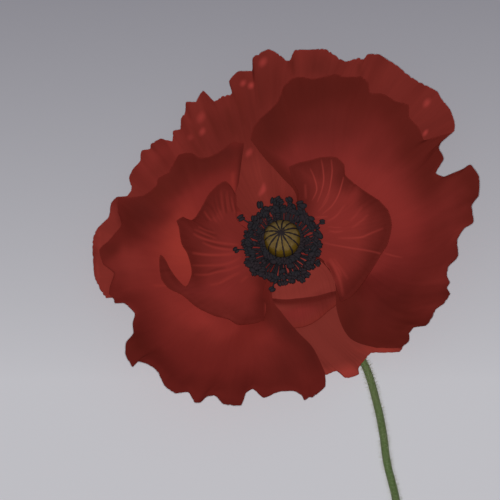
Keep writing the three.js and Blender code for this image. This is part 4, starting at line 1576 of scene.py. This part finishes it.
@dataclass
class Stem:
    """The cut stem and the receptacle at its head: it bends under the bloom and lies along the surface."""

    radius: float = 0.93
    neck_bend: float = 3.2
    receptacle_base: float = 4.2
    receptacle_radius: float = 2.2
    receptacle_top: float = 8.1
    route_px: Points = ((362.1, 360), (377, 406), (382.5, 434), (386.1, 461), (395, 499))
    end: tuple[float, float] = (30.6, -96.0)
    hair_length: float = 1.1
    hair_radius: float = 0.033
    hair_density: float = 15.0
    seed: int = 5

    def build(self) -> None:
        """Grows the stalk and its hairs, adds the receptacle and hands the piece over."""
        skin = stem_material()
        route = bpy.data.meshes.new("stem_route")
        line = self.route()
        route.from_pydata((line * MM + AXIS).tolist(), [(k, k + 1) for k in range(len(line) - 1)], [])
        values = {"Radius": self.radius * MM, "Material": skin}
        stalk = self.run(self.stalk_tree(values), added("stem_route", route), values, "stem_dressed")
        hair = {"Hair Length": self.hair_length * MM, "Hair Radius": self.hair_radius * MM}
        hair |= {"Hair Density": self.hair_density / MM**2, "Seed": self.seed, "Material": hair_material()}
        carrier = added("hair_carrier", stalk.data.copy())
        hairs = self.run(self.hair_tree(hair), carrier, hair, "stem_hairs")
        head = turned_piece(self.receptacle(), 40).to_object("receptacle", skin)
        chosen = [stalk, hairs, head]
        with bpy.context.temp_override(active_object=stalk, object=stalk, selected_editable_objects=chosen):
            bpy.ops.object.join()
        hand_over(stalk, "stem")

    @staticmethod
    def run(tree: Growth, source: Object, values: dict[str, object], name: str) -> Object:
        """Grows a tree on an object.

        Args:
            tree: The tree.
            source: The object, which is removed.
            values: The tree's inputs.
            name: The new object's name.

        Returns:
            What has grown.
        """
        tree.add_to(source, values)
        return grown(source, name)

    def receptacle(self) -> Array:
        """Draws the swollen head that carries petals, stamens and capsule.

        Returns:
            Radius and height of each ring.
        """
        base, top, wide = self.receptacle_base, self.receptacle_top, self.receptacle_radius
        low = [(1.0, base - 0.4), (1.3, base), (wide, base + 1.2)]
        return spline([*low, (wide, top - 0.4), (wide - 0.2, top - 0.05), (1.2, top)], 24)

    def route(self) -> Array:
        """Lays the stem from the receptacle down the neck and along the surface.

        Returns:
            The points of its middle line.
        """
        along = on_surface(self.route_px, lambda x, y: np.full_like(x, self.radius))
        heading = along[0] / np.linalg.norm(along[0])
        bend, base = self.neck_bend, self.receptacle_base
        turns = np.linspace(0.0, math.pi / 2, 5)
        neck = [(bend * (1 - math.cos(turn)), base - bend * math.sin(turn)) for turn in turns]
        start = [(0.0, base + 1.2), *neck, (8.0, self.radius), (18.0, self.radius)]
        high = [[heading[0] * distance, heading[1] * distance, z] for distance, z in start]
        low = [[x, y, self.radius] for x, y in [*along, self.end]]
        line = even_spline(np.array([*high, *low]), 150)
        line[:, 2] = np.maximum(line[:, 2], self.radius)
        return line

    @staticmethod
    def stalk_tree(values: dict[str, object]) -> Growth:
        """Builds the geometry tree of a round stalk along a line.

        Args:
            values: Its inputs.

        Returns:
            The tree.
        """
        tree = Growth("round_stalk", values)
        line = tree.node("GeometryNodeMeshToCurve", {0: tree.given["Geometry"]}).outputs[0]
        tree.finish(tree.round_tube(line, 20, tree.given["Radius"]))
        return tree

    @staticmethod
    def hair_tree(values: dict[str, object]) -> Growth:
        """Builds the geometry tree of the hairs on a stalk's upper side and flanks.

        Args:
            values: Its inputs.

        Returns:
            The tree.
        """
        tree = Growth("stalk_hairs", values)
        given = tree.given
        skin = {"Mesh": given["Geometry"], "Density": given["Hair Density"], "Seed": given["Seed"]}
        roots = tree.node("GeometryNodeDistributePointsOnFaces", skin).outputs
        upper = {0: tree.height_of(roots["Normal"]), 1: LEAST_UPWARD}
        clear = tree.node("FunctionNodeCompare", upper, operation="GREATER_THAN").outputs[0]
        cone = {"Vertices": 3, "Side Segments": 2, "Radius Top": 0.0}
        cone |= {"Radius Bottom": given["Hair Radius"], "Depth": given["Hair Length"]}
        hair = tree.node("GeometryNodeMeshCone", cone).outputs[0]
        lean = tree.vector(*(tree.random(-HAIR_LEAN, HAIR_LEAN, seed) for seed in (1, 2)))
        turned = {0: roots["Rotation"], 1: lean}
        tilt = tree.node("FunctionNodeRotateRotation", turned, rotation_space="LOCAL").outputs[0]
        size = tree.random(0.5, 1.1, 3)
        tree.finish(tree.spread(Points=roots[0], Selection=clear, Instance=hair, Rotation=tilt, Scale=size))
        return tree


def even_spline(points: Array, count: int) -> Array:
    """Points evenly spread by length on a curve through unevenly spaced ones.

    Args:
        points: The points that the curve passes through.
        count: How many points to return.

    Returns:
        The curve's points.
    """
    padded = np.vstack([2 * points[0] - points[1], points, 2 * points[-1] - points[-2]])
    pieces = []
    for a, b, c, d in zip(padded, padded[1:], padded[2:], padded[3:]):
        knots = np.cumsum([0.0, *(math.sqrt(np.linalg.norm(q - p)) for p, q in ((a, b), (b, c), (c, d)))])
        u = np.linspace(knots[1], knots[2], 24, endpoint=False)[:, None]

        def blend(p: Array, q: Array, low: float, high: float, at: Array = u) -> Array:
            """Goes from one point or curve to the next between two knots."""
            return (p * (high - at) + q * (at - low)) / (high - low)

        first, middle, last = (blend(p, q, knots[k], knots[k + 1]) for k, (p, q) in enumerate(((a, b), (b, c), (c, d))))
        early, late = blend(first, middle, knots[0], knots[2]), blend(middle, last, knots[1], knots[3])
        pieces.append(blend(early, late, knots[1], knots[2]))
    return at_shares(np.vstack([*pieces, points[-1:]]), np.linspace(0.0, 1.0, count))


def stem_material() -> Material:
    """Makes the grey-green skin of the stem, streaked and a little paler in places.

    Returns:
        The material.
    """
    finish = Finish("stem_skin", roughness=0.6, gloss=0.3)
    inputs = {"Vector": finish.place(), "Scale": (1.0, 0.12, 1.0)}
    streak = finish.noise(finish.node("ShaderNodeMapping", inputs).outputs[0], scale=1500.0, detail=3.0, roughness=0.6)
    cloud = finish.noise(finish.place(), scale=130.0)
    colour = finish.mixed(finish.eased(streak, 0.3, 0.7), paint(64, 82, 43), paint(79, 98, 57))
    colour = finish.mixed(finish.eased(cloud, 0.4, 0.75, 0.0, 0.5), colour, paint(84, 92, 58))
    return finish.done(colour, streak, depth=0.08, strength=0.6)


def hair_material() -> Material:
    """Makes the pale stiff hairs of the stem.

    Returns:
        The material.
    """
    finish = Finish("stem_hair", roughness=0.5, gloss=0.3)
    tint = finish.noise(finish.place(), scale=300.0, detail=1.0)
    return finish.done(finish.mixed(tint, paint(146, 148, 122), paint(174, 172, 152)))


# Floor, light and camera


@dataclass
class Studio:
    """A plain pale floor with painted shade, darker towards the far side; one lamp on the camera's side, a faint sky
    and the photograph's camera.
    """

    frame_width: float = 500 * MM_PER_PX * MM
    lens: float = 900.0
    sensor: float = 36.0
    aim_px: tuple[float, float] = (250.0, 250.0)
    key_energy: float = 37.0
    key_distance: float = 2.4
    key_size: float = 0.08
    sky: float = 0.08
    floor_half: float = 2.0
    floor_drop: float = 0.00005
    near_tints: tuple[Colour, Colour] = ((0.738, 0.738, 0.795), (0.748, 0.748, 0.805))
    # Painted shade of the floor: the tint it darkens to towards the far side, and where that starts and ends.
    far_painted_shade: Colour = (0.346, 0.341, 0.393)
    fade_from: float = -0.0075
    fade_to: float = 0.1045

    def build(self) -> None:
        """Sets up floor, lights, sky, camera and the plain view transform."""
        aim = on_surface([self.aim_px], lambda x, y: np.zeros_like(x))[0] * MM
        target = Vector((AXIS[0] + aim[0], AXIS[1] + aim[1], 0.0))
        back = Vector((0.0, -math.cos(VIEW_ANGLE), math.sin(VIEW_ANGLE)))
        self.floor()
        self.light(target + back * self.key_distance)
        self.camera(target + back * (self.frame_width * self.lens / self.sensor))
        bpy.context.scene.view_settings.view_transform = "Standard"

    @staticmethod
    def aimed(name: str, data: bpy.types.ID, place: Vector) -> Object:
        """Adds a lamp or camera that looks along the photograph's line of sight.

        Args:
            name: Its name.
            data: The lamp or camera.
            place: Where it stands.

        Returns:
            The object.
        """
        piece = added(name, data)
        piece.location = place
        piece.rotation_euler = (math.pi / 2 - VIEW_ANGLE, 0.0, 0.0)
        return piece

    def floor(self) -> None:
        """Lays the pale floor just under the flower, with painted shade: a little darker in tone towards the far side.
        """
        mesh = bpy.data.meshes.new("floor")
        corners = [(x * self.floor_half, y * self.floor_half) for x, y in ((-1, -1), (1, -1), (1, 1), (-1, 1))]
        mesh.from_pydata([(*corner, -self.floor_drop) for corner in corners], [], [(0, 1, 2, 3)])
        finish = Finish("floor_paint", roughness=0.9, gloss=0.1)
        near = finish.mixed(finish.noise(finish.place(), scale=9.0), *self.near_tints)
        # Painted shade: the floor darkens towards the far side, as though the light fell off.
        depth = finish.node("ShaderNodeSeparateXYZ", {0: finish.place()}).outputs[1]
        inputs = {0: depth, 1: self.fade_from, 2: self.fade_to, 3: 0.0, 4: 1.0}
        far = finish.math("POWER", finish.node("ShaderNodeMapRange", inputs).outputs[0], 0.85)
        mesh.materials.append(finish.done(finish.mixed(far, near, self.far_painted_shade)))
        added("floor", mesh)

    def light(self, place: Vector) -> None:
        """Hangs the lamp on the camera's side, and fills from the sky.

        Args:
            place: Where the lamp hangs.
        """
        lamp = bpy.data.lights.new("key", "AREA")
        lamp.shape = "DISK"
        lamp.size = self.key_size
        lamp.energy = self.key_energy
        lamp.color = (1.0, 0.99, 0.97)
        self.aimed("key", lamp, place).visible_camera = False
        world = bpy.data.worlds.new("sky")
        world.use_nodes = True
        background = world.node_tree.nodes["Background"]
        background.inputs["Color"].default_value = (0.92, 0.94, 1.0, 1.0)
        background.inputs["Strength"].default_value = self.sky
        bpy.context.scene.world = world

    def camera(self, place: Vector) -> None:
        """Places the camera at the photograph's angle and frame.

        Args:
            place: Where it stands.
        """
        data = bpy.data.cameras.new("camera")
        data.lens = self.lens
        data.sensor_width = self.sensor
        data.clip_end = 50.0
        bpy.context.scene.camera = self.aimed("camera", data, place)


def main() -> None:
    """Builds the flower from its rear petals to its capsule, then the studio."""
    logging.basicConfig(level=logging.INFO, format="%(name)s: %(message)s")
    for piece in (*PETALS, Stamens(), Capsule(), Stem(), Studio()):
        piece.build()


if __name__ == "__main__":
    main()
